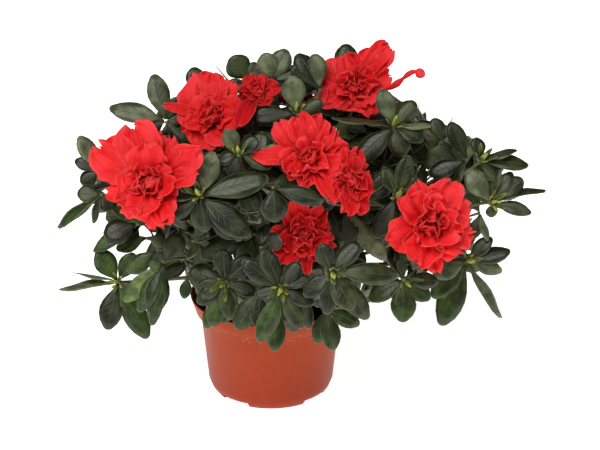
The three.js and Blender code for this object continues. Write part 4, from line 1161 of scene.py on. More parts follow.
def leaf_skin(name, base_colour, foliage, back=False):
    """Azalea leaf, grown: leathery and half glossy, puckered between sunk veins, with a pale hairy margin."""
    length, width = foliage.leaf_length / MM, foliage.leaf_width / MM
    rise_scale = round(2 * math.pi * length / VEIN_GAP, 1)
    slant_scale = -round(2 * math.pi * width * VEIN_SLANT / VEIN_GAP, 1)
    margin_share = 0.25 if back else 0.4

    def links(tree):
        across, along = blade_places(tree)
        place = add(tree, "ShaderNodeTexCoord", {}, "Object")
        patches = add(tree, "ShaderNodeTexNoise", {"Vector": place, "Scale": per_metre(8), "Detail": 3})
        hairs = add(tree, "ShaderNodeTexNoise", {"Vector": place, "Scale": per_metre(0.7), "Detail": 2})
        rise = add(tree, "ShaderNodeMath", {0: along, 1: rise_scale}, operation="MULTIPLY")
        slant = add(tree, "ShaderNodeMath", {0: across, 1: slant_scale, 2: rise}, operation="MULTIPLY_ADD")
        wave = add(tree, "ShaderNodeMath", {0: slant}, operation="SINE")
        veins = add(tree, "ShaderNodeMapRange", {0: wave, LOW: 0.6}, **SMOOTH)
        rib = add(tree, "ShaderNodeMapRange", {0: across, LOW: 0.01, HIGH: 0.055, START: 1, END: 0}, **SMOOTH)
        lighter = add(tree, "ShaderNodeMapRange", {0: patches, LOW: 0.35, HIGH: 0.7}, **SMOOTH)
        # On the top, the sunk veins are darkened as painted shade; on the back, the raised veins are paler,
        # their own tone.
        vein_shade_and_tone = add(tree, "ShaderNodeMath", {0: veins, 1: 0.12}, operation="MULTIPLY")
        foot = add(tree, "ShaderNodeMapRange", {0: along, HIGH: 0.6, START: 0.6, END: 0.1}, **SMOOTH)
        rib_shows = add(tree, "ShaderNodeMath", {0: rib, 1: foot}, operation="MULTIPLY")
        rim = rim_mask(tree, across, along, 0.46, 0.495)
        margin = add(tree, "ShaderNodeMath", {0: rim, 1: margin_share}, operation="MULTIPLY")
        base = layered(
            tree, colour(base_colour, 0.5), (lighter, colour(base_colour, 1.45, 0.004)),
            (vein_shade_and_tone, colour(base_colour, 1.5 if back else 0.5)), (rib_shows, colour("#6f7c48")),
            (margin, colour(foliage.hair_colour)),
        )
        sunk = add(tree, "ShaderNodeMath", {0: veins, 1: 0.3, 2: rib}, operation="MULTIPLY_ADD")
        height = add(tree, "ShaderNodeMath", {0: sunk, 1: 1 if back else -1}, operation="MULTIPLY")
        height = add(tree, "ShaderNodeMath", {0: hairs, 1: 0.25, 2: height}, operation="MULTIPLY_ADD")
        gloss = {0: patches, LOW: 0.3, HIGH: 0.8, START: 0.33, END: 0.46}
        return {
            "Base Color": base,
            "Roughness": add(tree, "ShaderNodeMapRange", gloss),
            "Normal": add(tree, "ShaderNodeBump", {"Height": height, "Distance": 0.5 * MM, "Strength": 0.5}),
        }

    values = {"Specular IOR Level": 0.5, "IOR": 1.45}
    return finish_material(name, values, links)


# Creases of a petal 36 mm wide and 35 mm long: they are 1.8 mm wide and 17.5 mm long.
CREASES = (36 / 1.8, 35 / 17.5, 1)


def petal_silk(name, base_colour, blush_and_highlight_colour, bloom):
    """Azalea petal, grown: matt like silk, creased lengthwise, deeper at its foot; its outer half is paler
    partly by its own blush and partly as painted highlight, and its rim is lightened as painted highlight.
    """

    def links(tree):
        across, along = blade_places(tree)
        place = add(tree, "ShaderNodeTexCoord", {}, "Object")
        blade = add(tree, "ShaderNodeUVMap", {}, uv_map="Blade")
        creased = add(tree, "ShaderNodeMapping", {"Vector": blade, "Scale": CREASES})
        creases = add(tree, "ShaderNodeTexNoise", {"Vector": creased, "Scale": 1, "Detail": 4})
        # Lighter blush patches towards the rim: partly the petal's own tone, partly painted highlight.
        blush = add(tree, "ShaderNodeTexNoise", {"Vector": place, "Scale": per_metre(16), "Detail": 2})
        outward = add(tree, "ShaderNodeMapRange", {0: along, LOW: 0.35, HIGH: 0.95, END: 0.8}, **SMOOTH)
        lighter = add(tree, "ShaderNodeMapRange", {0: blush, LOW: 0.3, HIGH: 0.6}, **SMOOTH)
        lighter = add(tree, "ShaderNodeMath", {0: lighter, 1: outward}, operation="MULTIPLY")
        towards_foot = {0: along, LOW: 0.08, HIGH: 0.55, START: 1, END: 0}
        throat = add(tree, "ShaderNodeMapRange", towards_foot, **SMOOTH)
        lines = add(tree, "ShaderNodeMapRange", {0: creases, LOW: 0.58, HIGH: 0.8, END: 0.35}, **SMOOTH)
        # Painted highlight: the thin rim is lightened where light would come through the margin.
        rim = rim_mask(tree, across, along, 0.4, 0.5)
        frill = add(tree, "ShaderNodeMath", {0: rim, 1: 0.3}, operation="MULTIPLY")
        base = layered(
            tree, colour(base_colour), (lighter, colour(blush_and_highlight_colour)), (throat, colour(bloom.throat_colour)),
            (lines, colour(bloom.throat_colour)), (frill, colour(bloom.rim_light_colour)),
        )
        return {
            "Base Color": base,
            "Normal": add(tree, "ShaderNodeBump", {"Height": creases, "Distance": 2 * MM, "Strength": 0.5}),
        }

    values = {"Roughness": 0.55, "Specular IOR Level": 0.22, "Sheen Weight": 0.03, "Subsurface Weight": 0.25,
              "Subsurface Radius": (1.0, 0.12, 0.1), "Subsurface Scale": 3 * MM}
    return finish_material(name, values, links)


def white_paper(stage):
    """Backdrop paper, matt and lit from behind: plain and pale."""

    def links(tree):
        place = add(tree, "ShaderNodeTexCoord", {}, "Object")
        fibres = add(tree, "ShaderNodeTexNoise", {"Vector": place, "Scale": per_metre(1.1), "Detail": 2})
        return {
            "Base Color": layered(tree, colour(stage.floor_colour), (fibres, colour("#f2f2f1"))),
            "Normal": add(tree, "ShaderNodeBump", {"Height": fibres, "Distance": 0.1 * MM, "Strength": 0.2}),
        }

    values = {"Roughness": 0.9, "Specular IOR Level": 0.2, "Emission Color": WHITE,
              "Emission Strength": stage.floor_glow}
    return finish_material("paper_matt", values, links)


# Meshes.

def linked(name, data):
    """An object with this data, in the scene."""
    obj = bpy.data.objects.new(name, data)
    bpy.context.scene.collection.objects.link(obj)
    return obj


def place_piece(mesh, nodes=()):
    """Puts a finished mesh in the scene as a piece on the plant's one body."""
    piece = linked(mesh.name, mesh)
    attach(piece, "root")
    if nodes:
        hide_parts(*nodes)


def nodes_of(*starts):
    """The names of the solids that start with one of these."""
    return [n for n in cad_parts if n.startswith(starts)]


def mesh_of(bm, name, material):
    """A smooth mesh with its material from a bmesh, which goes."""
    bmesh.ops.recalc_face_normals(bm, faces=bm.faces)
    for face in bm.faces:
        face.smooth = True
    mesh = bpy.data.meshes.new(name)
    bm.to_mesh(mesh)
    bm.free()
    mesh.materials.append(material)
    return mesh


def spun(outline, steps):
    """A bmesh turned from an outline of radius and height, closed at its poles."""
    bm = bmesh.new()
    verts = [bm.verts.new((r * MM, 0, z * MM)) for r, z in outline]
    edges = [bm.edges.new(pair) for pair in zip(verts, verts[1:])]
    bmesh.ops.spin(
        bm, geom=verts + edges, cent=(0, 0, 0), axis=(0, 0, 1), steps=steps, angle=2 * math.pi, use_merge=True
    )
    bmesh.ops.remove_doubles(bm, verts=bm.verts, dist=0.001 * MM)
    bmesh.ops.recalc_face_normals(bm, faces=bm.faces)
    return bm


def applied(obj):
    """The mesh of an object with its modifiers applied; the object goes."""
    name, data = obj.name, obj.data
    mesh = bpy.data.meshes.new_from_object(obj.evaluated_get(bpy.context.evaluated_depsgraph_get()))
    bpy.data.objects.remove(obj)
    (bpy.data.curves if isinstance(data, bpy.types.Curve) else bpy.data.meshes).remove(data)
    mesh.name = name
    return mesh


def loose_object(bm, name):
    """An object from a bmesh, which goes."""
    mesh = bpy.data.meshes.new(name)
    bm.to_mesh(mesh)
    bm.free()
    return linked(name, mesh)


def shape_of(make, **form):
    """The corners and faces of a shape that bmesh makes."""
    bm = bmesh.new()
    make(bm, **form)
    corners = np.array([v.co for v in bm.verts])
    faces = [[v.index for v in f.verts] for f in bm.faces]
    bm.free()
    return corners, faces


def copies_mesh(name, copies, faces, material, smooth):
    """One mesh of many copies of a shape: the corners of each copy in mm, and the faces of the shape."""
    step = copies.shape[1]
    joined = [[i + k * step for i in face] for k in range(len(copies)) for face in faces]
    mesh = bpy.data.meshes.new(name)
    mesh.from_pydata((copies.reshape(-1, 3) * MM).tolist(), [], joined)
    mesh.polygons.foreach_set("use_smooth", np.full(len(joined), smooth))
    mesh.materials.append(material)
    return mesh


def limb_mesh(name, limbs, sides, material, move=None):
    """Round tapering limbs as one mesh. Each is its points and radii; move shifts its surface."""
    data = bpy.data.curves.new(name, "CURVE")
    data.dimensions = "3D"
    data.bevel_depth = 1
    data.bevel_resolution = sides // 4 - 1
    data.use_fill_caps = True
    for points, radii in limbs:
        spline = data.splines.new("POLY")
        spline.points.add(len(points) - 1)
        spline.points.foreach_set("co", np.column_stack((points * MM, np.ones(len(points)))).ravel())
        spline.points.foreach_set("radius", np.asarray(radii) * MM)
    mesh = applied(linked(name, data))
    bm = bmesh.new()
    bm.from_mesh(mesh)
    bpy.data.meshes.remove(mesh)
    bmesh.ops.remove_doubles(bm, verts=bm.verts, dist=0.0001 * MM)
    bm.normal_update()
    if move:
        shifts = [(v, move(v.co / MM) * MM * v.normal) for v in bm.verts]
        for v, shift in shifts:
            v.co += shift
    return mesh_of(bm, name, material)


def grid_sheet(across, along):
    """Corners of a flat sheet, -1 to 1 across and 0 to 1 along, and its faces."""
    corners, faces = shape_of(bmesh.ops.create_grid, x_segments=across, y_segments=along, size=1)
    return corners[:, 0], corners[:, 1] * 0.5 + 0.5, np.array(faces)


def sheet_mesh(name, groups, materials, thickness):
    """Many thin sheets joined. Each group is its points, its faces, its map and a material number each."""
    points, faces, maps, tints = [], [], [], []
    first = 0
    for sheets, sheet_faces, sheet_map, sheet_tints in groups:
        count, corners = sheets.shape[:2]
        points.append(sheets.reshape(-1, 3))
        offsets = first + np.arange(count)[:, None, None] * corners
        faces.append((sheet_faces[None] + offsets).reshape(-1, 4))
        maps.append(np.tile(sheet_map, (count, 1)))
        tints.append(np.repeat(sheet_tints, len(sheet_faces)))
        first += count * corners
    points, faces, maps = np.concatenate(points), np.concatenate(faces), np.concatenate(maps)
    mesh = bpy.data.meshes.new(name)
    mesh.from_pydata((points * MM).tolist(), [], faces.tolist())
    for material in materials:
        mesh.materials.append(material)
    mesh.polygons.foreach_set("material_index", np.concatenate(tints).astype(np.int32))
    mesh.polygons.foreach_set("use_smooth", np.ones(len(faces), bool))
    layer = mesh.uv_layers.new(name="Blade")
    layer.data.foreach_set("uv", maps[faces.ravel()].ravel())
    obj = linked(name, mesh)
    wall = obj.modifiers.new("Thickness", "SOLIDIFY")
    wall.thickness = thickness
    wall.offset = -1
    wall.material_offset = len(materials) // 2
    return applied(obj)


# A leaf's blade. Its sides follow a sine of its length, shifted forward and made blunt; its edge is never
# narrower than a share of its width. Bend, twist, rolled margin, midrib's tip and waves are shares too.
BLADE = {"cells": (4, 7), "closed": 0.965, "forward": 1.27, "blunt": 0.45, "least": 0.09, "tip": 0.035,
         "tip_power": 8, "bend": (0.02, 0.2), "fold_spread": 0.1, "rolled": 0.1, "waves": 8, "phase": 6,
         "twist": 0.2}


def blade_sheets(blades, seed, fold=0.14, wave=0.02):
    """The joined corners of many leaves: blunt, folded along the midrib, with rolled margins."""
    s, t, faces = grid_sheet(*BLADE["cells"])
    rng = np.random.default_rng(seed)
    one_each = (len(blades), 1)
    base, run, lift, length, width = (
        np.array([getattr(b, key) for b in blades])[:, None]
        for key in ("base", "run", "lift", "length", "width")
    )
    side = np.cross(run, lift)
    tight = np.sin(math.pi * (t * BLADE["closed"]) ** BLADE["forward"]) ** (1.0 - BLADE["blunt"] * t)
    x = s * (np.maximum(tight, BLADE["least"]) * width / 2)
    y = length * (t + BLADE["tip"] * (1 - s * s) * t ** BLADE["tip_power"])
    bend = rng.uniform(*BLADE["bend"], one_each)
    folds = rng.normal(fold, BLADE["fold_spread"], one_each)
    z = -bend * length * t * t + np.abs(x) * folds - BLADE["rolled"] * width * np.abs(s) ** 3 * tight
    z += wave * length * np.sin(t * BLADE["waves"] + rng.uniform(0, BLADE["phase"], one_each)) * s * s
    twist = rng.normal(0, BLADE["twist"], one_each) * t
    x, z = x * np.cos(twist) - z * np.sin(twist), z * np.cos(twist) + x * np.sin(twist)
    points = base + side * x[..., None] + run * y[..., None] + lift * z[..., None]
    return points, faces, np.column_stack((s * 0.5 + 0.5, t)), np.array([b.tint for b in blades])


# Petals of one whorl of a bloom. Lengths are shares of the bloom's radius; low and high are the pitch of the
# petal at its foot and at its tip, in degrees from the plane of the bloom.
Petals = namedtuple("Petals", "count length width low high spread cup ruffle heart")
STYLES = {
    "broad": [
        Petals(5, 1.06, 1.10, 40, -4, 4, 0.06, 0.062, 0),
        Petals(3, 0.84, 0.92, 46, 8, 10, 0.06, 0.085, 0),
        Petals(3, 0.64, 0.76, 58, 30, 14, 0.10, 0.105, 0),
        Petals(4, 0.42, 0.58, 70, 62, 14, 0.18, 0.120, 1),
        Petals(3, 0.32, 0.48, 72, 112, 16, 0.12, 0.130, 1),
    ],
    "star": [
        Petals(5, 1.10, 0.80, 40, -4, 4, 0.06, 0.066, 0),
        Petals(4, 0.84, 0.68, 46, 8, 10, 0.10, 0.085, 0),
        Petals(3, 0.60, 0.58, 60, 36, 14, 0.18, 0.100, 0),
        Petals(4, 0.38, 0.38, 76, 66, 10, 0.26, 0.090, 1),
        Petals(4, 0.30, 0.36, 72, 112, 14, 0.12, 0.110, 1),
    ],
    "frilled": [
        Petals(6, 1.05, 0.86, 44, -2, 8, 0.08, 0.085, 0),
        Petals(5, 0.84, 0.70, 54, 16, 12, 0.12, 0.100, 0),
        Petals(5, 0.60, 0.52, 68, 40, 12, 0.20, 0.110, 1),
        Petals(4, 0.40, 0.36, 80, 68, 10, 0.26, 0.110, 1),
        Petals(4, 0.32, 0.36, 74, 112, 14, 0.12, 0.110, 1),
    ],
    "rose": [
        Petals(5, 1.06, 1.02, 40, -4, 6, 0.08, 0.066, 0),
        Petals(4, 0.84, 0.88, 48, 12, 10, 0.12, 0.090, 0),
        Petals(3, 0.66, 0.80, 60, 34, 14, 0.16, 0.110, 0),
        Petals(3, 0.48, 0.62, 72, 64, 14, 0.22, 0.120, 1),
        Petals(3, 0.34, 0.52, 72, 112, 16, 0.12, 0.130, 1),
    ],
}
CELLS = {"outer": (34, 26), "inner": (24, 20), "heart": (14, 14)}  # across and along one petal
THROAT = {"depth": 0.25, "step": 0.02, "radius": 0.05}  # shares of the bloom's radius
FRILL_WIDTH = 5.2  # mm of a petal's length and width for each small wave of its margin

# Crumples are 13 mm and 5 mm wide, the lesser ones weaker, and shift a petal by a share of the bloom's
# radius. The noise that they follow starts from a seed.
CRUMPLE = {"seed": 7, "wide": 13, "narrow": 5, "weaker": 0.4, "share": 0.06}

# A petal's outline: its narrow foot widens up to a share of its length, and it closes from another share on.
# Ruffles run round its rim, small, wide and along the blade, and count for these shares of the frill. Slender
# petals are smoother.
PETAL = {"foot": 0.14, "widest": 0.66, "swell": 1.2, "closing": 0.58, "closed": 0.9, "blunt": 2.4,
         "slender": 0.55, "groove": 0.05, "groove_width": 0.22, "lean": 0.06, "scalloped": 0.07,
         "long": (0.82, 1.1), "wide": (0.8, 1.15), "curl": 0.7, "cup": 0.4}
FRILLS = {"small": 0.65, "folds": 0.35, "broad": 1.1, "ruffles": 0.95, "scallops": 0.8, "rim": 0.5,
          "narrower": 0.6, "fine": (6.2, 8.4), "coarse": (2.4, 4.0), "fold_count": 11, "fold_slant": 3}
BLOOM_PIECES = [
    ("petals_left", 0, 3), ("petals_middle", 3, 5), ("petals_right", 5, 8), ("petals_back", 8, len(BLOOMS)),
]


def seen_way(bloom, azimuth, length, trim, flat, rise):
    """The way in a bloom's plane and the petal's own length that bring its tip to where it shows."""
    _, right, up, ahead, _, _ = view_frame()
    axis = heading(*bloom.look)
    wanted = (right * math.cos(azimuth) + up * math.sin(azimuth)) * length
    own = length / flat
    for _ in range(3):
        lift = axis * (own * rise - THROAT["depth"] * bloom.radius)
        rest = wanted - lift + ahead * (lift @ ahead)
        way = rest - ahead * (rest @ axis) / (ahead @ axis)
        own = (min(1.4 * length, np.linalg.norm(way)) - trim) / flat
    return unit(way), own


def crumples(corners, away):
    """How far a crumpled petal's corners are shifted, between -1 and 1 or a little more each way."""
    shifts = []
    for corner in map(Vector, corners):
        wide = noise.noise_vector(corner / CRUMPLE["wide"] + away)
        narrow = noise.noise_vector(corner / CRUMPLE["narrow"] + away)
        shifts.append(wide + CRUMPLE["weaker"] * narrow)
    return np.array(shifts)


def petal_sheet(bloom, at, form, rng, kind, order, azimuth, outer=None):
    """The corners of one petal: a narrow foot that widens into a rounded, cupped and frilled blade."""
    cols, rows, _ = grid_sheet(*CELLS[kind])
    axis = heading(*bloom.look)
    low = form.low + rng.normal(0, form.spread / 3)
    high = form.high + rng.normal(0, form.spread)
    line = np.linspace(0, 1, CELLS[kind][1] + 1)
    tilts = np.radians(low + (high - low) * line ** PETAL["curl"])
    steps = np.diff(line, prepend=0)
    frill = bpy.context.scene.azalea.bloom.frill * form.ruffle * bloom.radius
    if outer:
        azimuth, wanted, full_width = outer
        frill *= min(1, full_width / (PETAL["slender"] * wanted))
        trim = THROAT["radius"] * bloom.radius + FRILLS["scallops"] * frill
        flat, rise = np.cos(tilts) @ steps, np.sin(tilts) @ steps
        way, length = seen_way(bloom, math.radians(azimuth), wanted, trim, flat, rise)
        width = full_width - FRILLS["narrower"] * frill
    else:
        way = around(axis, azimuth)
        length = form.length * bloom.radius * rng.uniform(*PETAL["long"])
        width = form.width * bloom.radius * rng.uniform(*PETAL["wide"])
    side = np.cross(way, axis)
    reach = THROAT["radius"] * bloom.radius + length * np.cumsum(np.cos(tilts) * steps)
    foot = (THROAT["step"] * order - THROAT["depth"]) * bloom.radius
    rise = foot + length * np.cumsum(np.sin(tilts) * steps)
    tilt, reach, rise = (np.interp(rows, line, values) for values in (tilts, reach, rise))

    phase = rng.uniform(0, 2 * math.pi, 6)
    fan = np.arctan2(0.9 * cols, 2 * rows - 0.84)
    rim = (1 - (1 - np.abs(cols) ** 5) * (1 - rows ** 6)) * rows
    frills = (length + width) / FRILL_WIDTH
    small = np.sin(frills * fan + 1.5 * np.sin(2.3 * fan + phase[0]) + phase[1])
    scallops = np.sin(frills * fan + 2 * np.sin(1.7 * fan + phase[2])) * (0.65 + 0.35 * np.sin(3 * fan))
    ruffles = np.sin(rng.uniform(*FRILLS["fine"]) * fan + phase[3] + np.sin(2 * rows + phase[0]))
    broad = np.sin(rng.uniform(*FRILLS["coarse"]) * fan + phase[3])
    folds = np.sin(FRILLS["fold_count"] * cols + FRILLS["fold_slant"] * rows + phase[4])
    folds = folds * np.sin(math.pi * rows)
    towards = 1 - (1 - cols ** 2) * (1 - rows ** 3)
    opened = np.sin(np.minimum(rows / PETAL["widest"], 1) * math.pi / 2) ** PETAL["swell"]
    swell = PETAL["foot"] + (1 - PETAL["foot"]) * opened
    closing = np.clip((rows - PETAL["closing"]) / (1 - PETAL["closing"]), 0, 1)
    blunt = np.sqrt(1 - PETAL["closed"] * closing ** PETAL["blunt"])
    lift = frill * (FRILLS["broad"] * rows ** 1.3 * (0.3 + 0.7 * cols ** 2) * broad
                    + FRILLS["small"] * rim * small + FRILLS["folds"] * folds)
    lift += FRILLS["ruffles"] * frill * towards * rows * ruffles
    lift += form.cup * bloom.radius * cols ** 2 * swell * (1 - PETAL["cup"] * rows)
    groove = np.exp(-(cols / PETAL["groove_width"]) ** 2)
    lift -= PETAL["groove"] * bloom.radius * groove * rows * (1 - rows)
    edge = rim * (FRILLS["scallops"] * frill * scallops + FRILLS["rim"] * frill * np.sin(3 * fan + phase[5]))
    along = np.outer(reach + edge * np.cos(tilt) - np.sin(tilt) * lift, way)
    upward = np.outer(rise + edge * np.sin(tilt) + np.cos(tilt) * lift, axis)
    half = width / 2 * swell * blunt * (1 + PETAL["scalloped"] * rim * scallops)
    across = np.outer(half * cols + rng.normal(0, PETAL["lean"]) * width * rows ** 2, side)
    corners = along + upward + across
    crumple = crumples(corners, Vector(rng.uniform(0, 50, 3)))
    return at + corners + crumple * (CRUMPLE["share"] * bloom.radius * rows)[:, None]


def bloom_sheets(bloom, at):
    """All petals of a bloom, from the outer whorl to its heart, on ever smaller sheets."""
    rng = np.random.default_rng(round(bloom.bearing * 100 + bloom.radius))
    sheets = {kind: [] for kind in CELLS}
    turn = rng.uniform(0, 2 * math.pi)
    for order, form in enumerate(STYLES[bloom.style]):
        if order == 0 and bloom.outer:  # the visible outline is as measured
            for outer in bloom.outer:
                sheets["outer"].append(petal_sheet(bloom, at, form, rng, "outer", 0, 0, outer))
            continue
        kind = "heart" if form.heart else "inner"
        for k in range(form.count):
            azimuth = turn + (k + rng.normal(0, 0.2)) / form.count * 2 * math.pi
            sheets[kind].append(petal_sheet(bloom, at, form, rng, kind, order, azimuth))
        turn += math.pi / form.count + 0.3
    groups = []
    for kind, made in sheets.items():
        if made:
            s, t, faces = grid_sheet(*CELLS[kind])
            # Heart petals and every petal of a frilled bloom take the deeper heart material; on the frilled
            # blooms this darkening is painted shade.
            tints = np.full(len(made), int(kind == "heart" or bloom.style == "frilled"))
            groups.append((np.array(made), faces, np.column_stack((s * 0.5 + 0.5, t)), tints))
    return groups


def rolled_petal(path):
    """A narrow petal rolled up along a path, with a knob where it closes at its end."""
    cols, rows, faces = grid_sheet(*CURLED_ROLL["cells"])
    line = np.linspace(0, 1, CURLED_ROLL["cells"][1] + 1)
    way = np.gradient(path.points(line), axis=0)
    way /= np.linalg.norm(way, axis=1)[:, None]
    points = np.column_stack([np.interp(rows, line, axis) for axis in path.points(line).T])
    ways = np.column_stack([np.interp(rows, line, axis) for axis in way.T])
    out = np.cross(ways, UP)
    out /= np.linalg.norm(out, axis=1)[:, None]
    up = np.cross(out, ways)
    angle = cols * (CURLED_ROLL["foot"] + CURLED_ROLL["more"] * rows) + math.pi / 2 * rows
    from_knob = (rows - CURLED_KNOB["middle"]) / CURLED_KNOB["half_length"]
    knob = CURLED_KNOB["radius"] * np.sqrt(np.clip(1 - from_knob ** 2, 0, 1))
    radius = np.maximum(np.interp(rows, *zip(*CURLED_RADII)), knob)
    points += out * (radius * np.sin(angle))[:, None] - up * (radius * np.cos(angle))[:, None]
    return points[None], faces, np.column_stack((cols * 0.5 + 0.5, 0.5 + rows * 0.5)), np.array([0])


# Operators.

LENS = {"sensor": 36, "near": 0.1, "far": 20}  # the sensor in mm, the rest in metres
FLOOR_HALF = 4  # metres
LIGHTS_AT = (0, 0, 0.14)  # metres: what the lights look at
LIGHTS = {"top": (-0.45, -0.85, 1.5), "left": (-1.3, -0.9, 0.7), "right": (1.35, -0.7, 0.6)}
LAMP = {"tone": (1, 0.98, 0.93), "sun_spread": 36, "panel": 1.1}


class AZALEA_OT_stage(Operator):
    """Sets the camera, the pale floor and the soft lights"""

    bl_idname = "azalea.stage"
    bl_label = "Stage"

    def execute(self, context):
        scene = context.scene
        stage = scene.azalea.stage
        lens = bpy.data.cameras.new("camera")
        lens.sensor_width = LENS["sensor"]
        lens.lens = stage.distance / stage.view_width * LENS["sensor"]
        lens.clip_start = LENS["near"]
        lens.clip_end = LENS["far"]
        camera = linked("camera", lens)
        camera.location = view_frame()[0] * MM
        camera.rotation_euler = (math.pi / 2 - stage.elevation, 0, 0)
        scene.camera = camera

        bm = bmesh.new()
        bmesh.ops.create_grid(bm, x_segments=1, y_segments=1, size=FLOOR_HALF)
        floor = linked("floor", mesh_of(bm, "floor", white_paper(stage)))
        floor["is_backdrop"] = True

        for side, place in LIGHTS.items():
            sun = side == "top"
            lamp = bpy.data.lights.new(f"light_{side}", "SUN" if sun else "AREA")
            lamp.energy = stage.key_strength if sun else stage.fill_power
            lamp.color = LAMP["tone"]
            if sun:
                lamp.angle = math.radians(LAMP["sun_spread"])
            else:
                lamp.shape = "SQUARE"
                lamp.size = LAMP["panel"]
            light = linked(f"light_{side}", lamp)
            light.location = place
            light.rotation_euler = (Vector(LIGHTS_AT) - Vector(place)).to_track_quat("-Z", "Y").to_euler()
        world = bpy.data.worlds.new("studio")
        world.use_nodes = True
        background = world.node_tree.nodes["Background"]
        background.inputs["Color"].default_value = WHITE
        background.inputs["Strength"].default_value = stage.sky
        scene.world = world
        scene.view_settings.view_transform = "Standard"
        return {"FINISHED"}


# How the moulded pot is shaped, in mm and degrees: the rounding of its foot, the steps under its lip, its
# base, the notches and the drain holes round the foot, and its edges.
MOULD = {"foot": (2.6, 3.4), "step": 0.8, "inner_step": 1.6, "base": 5.5, "turns": 160}
NOTCHES = {"count": 4, "first": -38.5, "half": 16.5, "inner": 14, "below": 4, "steps": 8}
DRAINS = {"out": 28, "height": 5, "depth": 20, "sides": 24}
EDGES = {"width": 0.5, "segments": 2, "rounded": 25, "sharp": 32}


def pot_outline(pot):
    """The pot's section as radii and heights, up its outside and down its inside."""
    height, rim, wall, foot = pot.height / MM, pot.rim_radius / MM, pot.wall / MM, pot.foot_radius / MM
    lip = height - pot.lip_height / MM
    body, lip_foot = pot.body_radius / MM, pot.lip_foot_radius / MM
    chamfer, chamfer_height = pot.chamfer_radius / MM, pot.chamfer_height / MM
    return [
        (0, 0), (foot, 0), (foot + MOULD["foot"][0], MOULD["foot"][1]), (chamfer, chamfer_height),
        (body, lip), (lip_foot, lip + MOULD["step"]), (rim, height),
        (rim - wall, height), (lip_foot - wall, lip + MOULD["inner_step"]), (body - wall, lip),
        (chamfer - wall, chamfer_height), (foot, MOULD["base"]), (0, MOULD["base"]),
    ]


def foot_cutters(pot):
    """What is cut out of the pot: wedges for the notches of its foot, and the drain holes."""
    wedges, holes = bmesh.new(), bmesh.new()
    half = math.radians(NOTCHES["half"])
    for k in range(NOTCHES["count"]):
        bearing = math.radians(NOTCHES["first"] + 360 / NOTCHES["count"] * k)
        x, y = math.cos(bearing - half), math.sin(bearing - half)
        radii = (NOTCHES["inner"] * MM, pot.rim_radius)
        ends = [wedges.verts.new((r * x, r * y, -NOTCHES["below"] * MM)) for r in radii]
        bmesh.ops.spin(
            wedges, geom=[*ends, wedges.edges.new(ends)], cent=(0, 0, 0), axis=(0, 0, 1),
            steps=NOTCHES["steps"], angle=2 * half,
        )
        hole = bmesh.ops.create_cone(
            holes, cap_ends=True, segments=DRAINS["sides"], radius1=pot.drain_radius,
            radius2=pot.drain_radius, depth=DRAINS["depth"] * MM,
        )
        out = DRAINS["out"] * MM
        place = (out * math.cos(bearing), out * math.sin(bearing), DRAINS["height"] * MM)
        bmesh.ops.translate(holes, vec=place, verts=hole["verts"])
    lifted = bmesh.ops.extrude_face_region(wedges, geom=wedges.faces[:])["geom"]
    verts = [item for item in lifted if isinstance(item, bmesh.types.BMVert)]
    bmesh.ops.translate(wedges, vec=(0, 0, pot.channel_height + NOTCHES["below"] * MM), verts=verts)
    bmesh.ops.recalc_face_normals(wedges, faces=wedges.faces)
    return [loose_object(wedges, "wedges"), loose_object(holes, "holes")]


class AZALEA_OT_pot(Operator):
    """Turns the moulded pot and cuts the notches and drain holes of its foot"""

    bl_idname = "azalea.pot"
    bl_label = "Pot"

    def execute(self, context):
        pot = context.scene.azalea.pot
        shell = loose_object(spun(pot_outline(pot), MOULD["turns"]), "pot_moulded")
        cutters = foot_cutters(pot)
        for cutter in cutters:
            cut = shell.modifiers.new("Cut", "BOOLEAN")
            cut.object = cutter
            cut.solver = "EXACT"
        edge = shell.modifiers.new("Edge", "BEVEL")
        edge.width = EDGES["width"] * MM
        edge.segments = EDGES["segments"]
        edge.limit_method = "ANGLE"
        edge.angle_limit = math.radians(EDGES["rounded"])
        mesh = applied(shell)
        for cutter in cutters:
            bpy.data.objects.remove(cutter)
        mesh.materials.clear()
        mesh.materials.append(pot_plastic(pot))
        mesh.polygons.foreach_set("use_smooth", np.ones(len(mesh.polygons), bool))
        mesh.set_sharp_from_angle(angle=math.radians(EDGES["sharp"]))
        place_piece(mesh, ["pot"])
        return {"FINISHED"}


# The peat's section below its top, in mm, how much higher it is in the middle, and its relief: lumps 6.25 mm
# wide that rise and sink this far. Crumbs lie on it, clear of the wall and the trunk.
PEAT = {"section": [(0, 5.8), (41, 5.8), (44.8, 10), (50.5, 63)], "edge": 54.2, "crown": 2.5, "rings": 20,
        "turns": 96, "lumps": 6.25, "relief": 1.5, "highest": 0.8, "lowest": -1.6, "flat_rim": 0.5}
CRUMBS = {"seed": 41, "count": 1500, "wall_gap": 3, "trunk_gap": 11, "size": (0.4, 1.5),
          "stretch": (0.6, 1.5), "rough": 0.25}


def peat_level(pot, radius):
    """The height of the peat at a distance from the pot's axis."""
    return pot.soil_top / MM + PEAT["crown"] * (1 - (radius / PEAT["edge"]) ** 2)


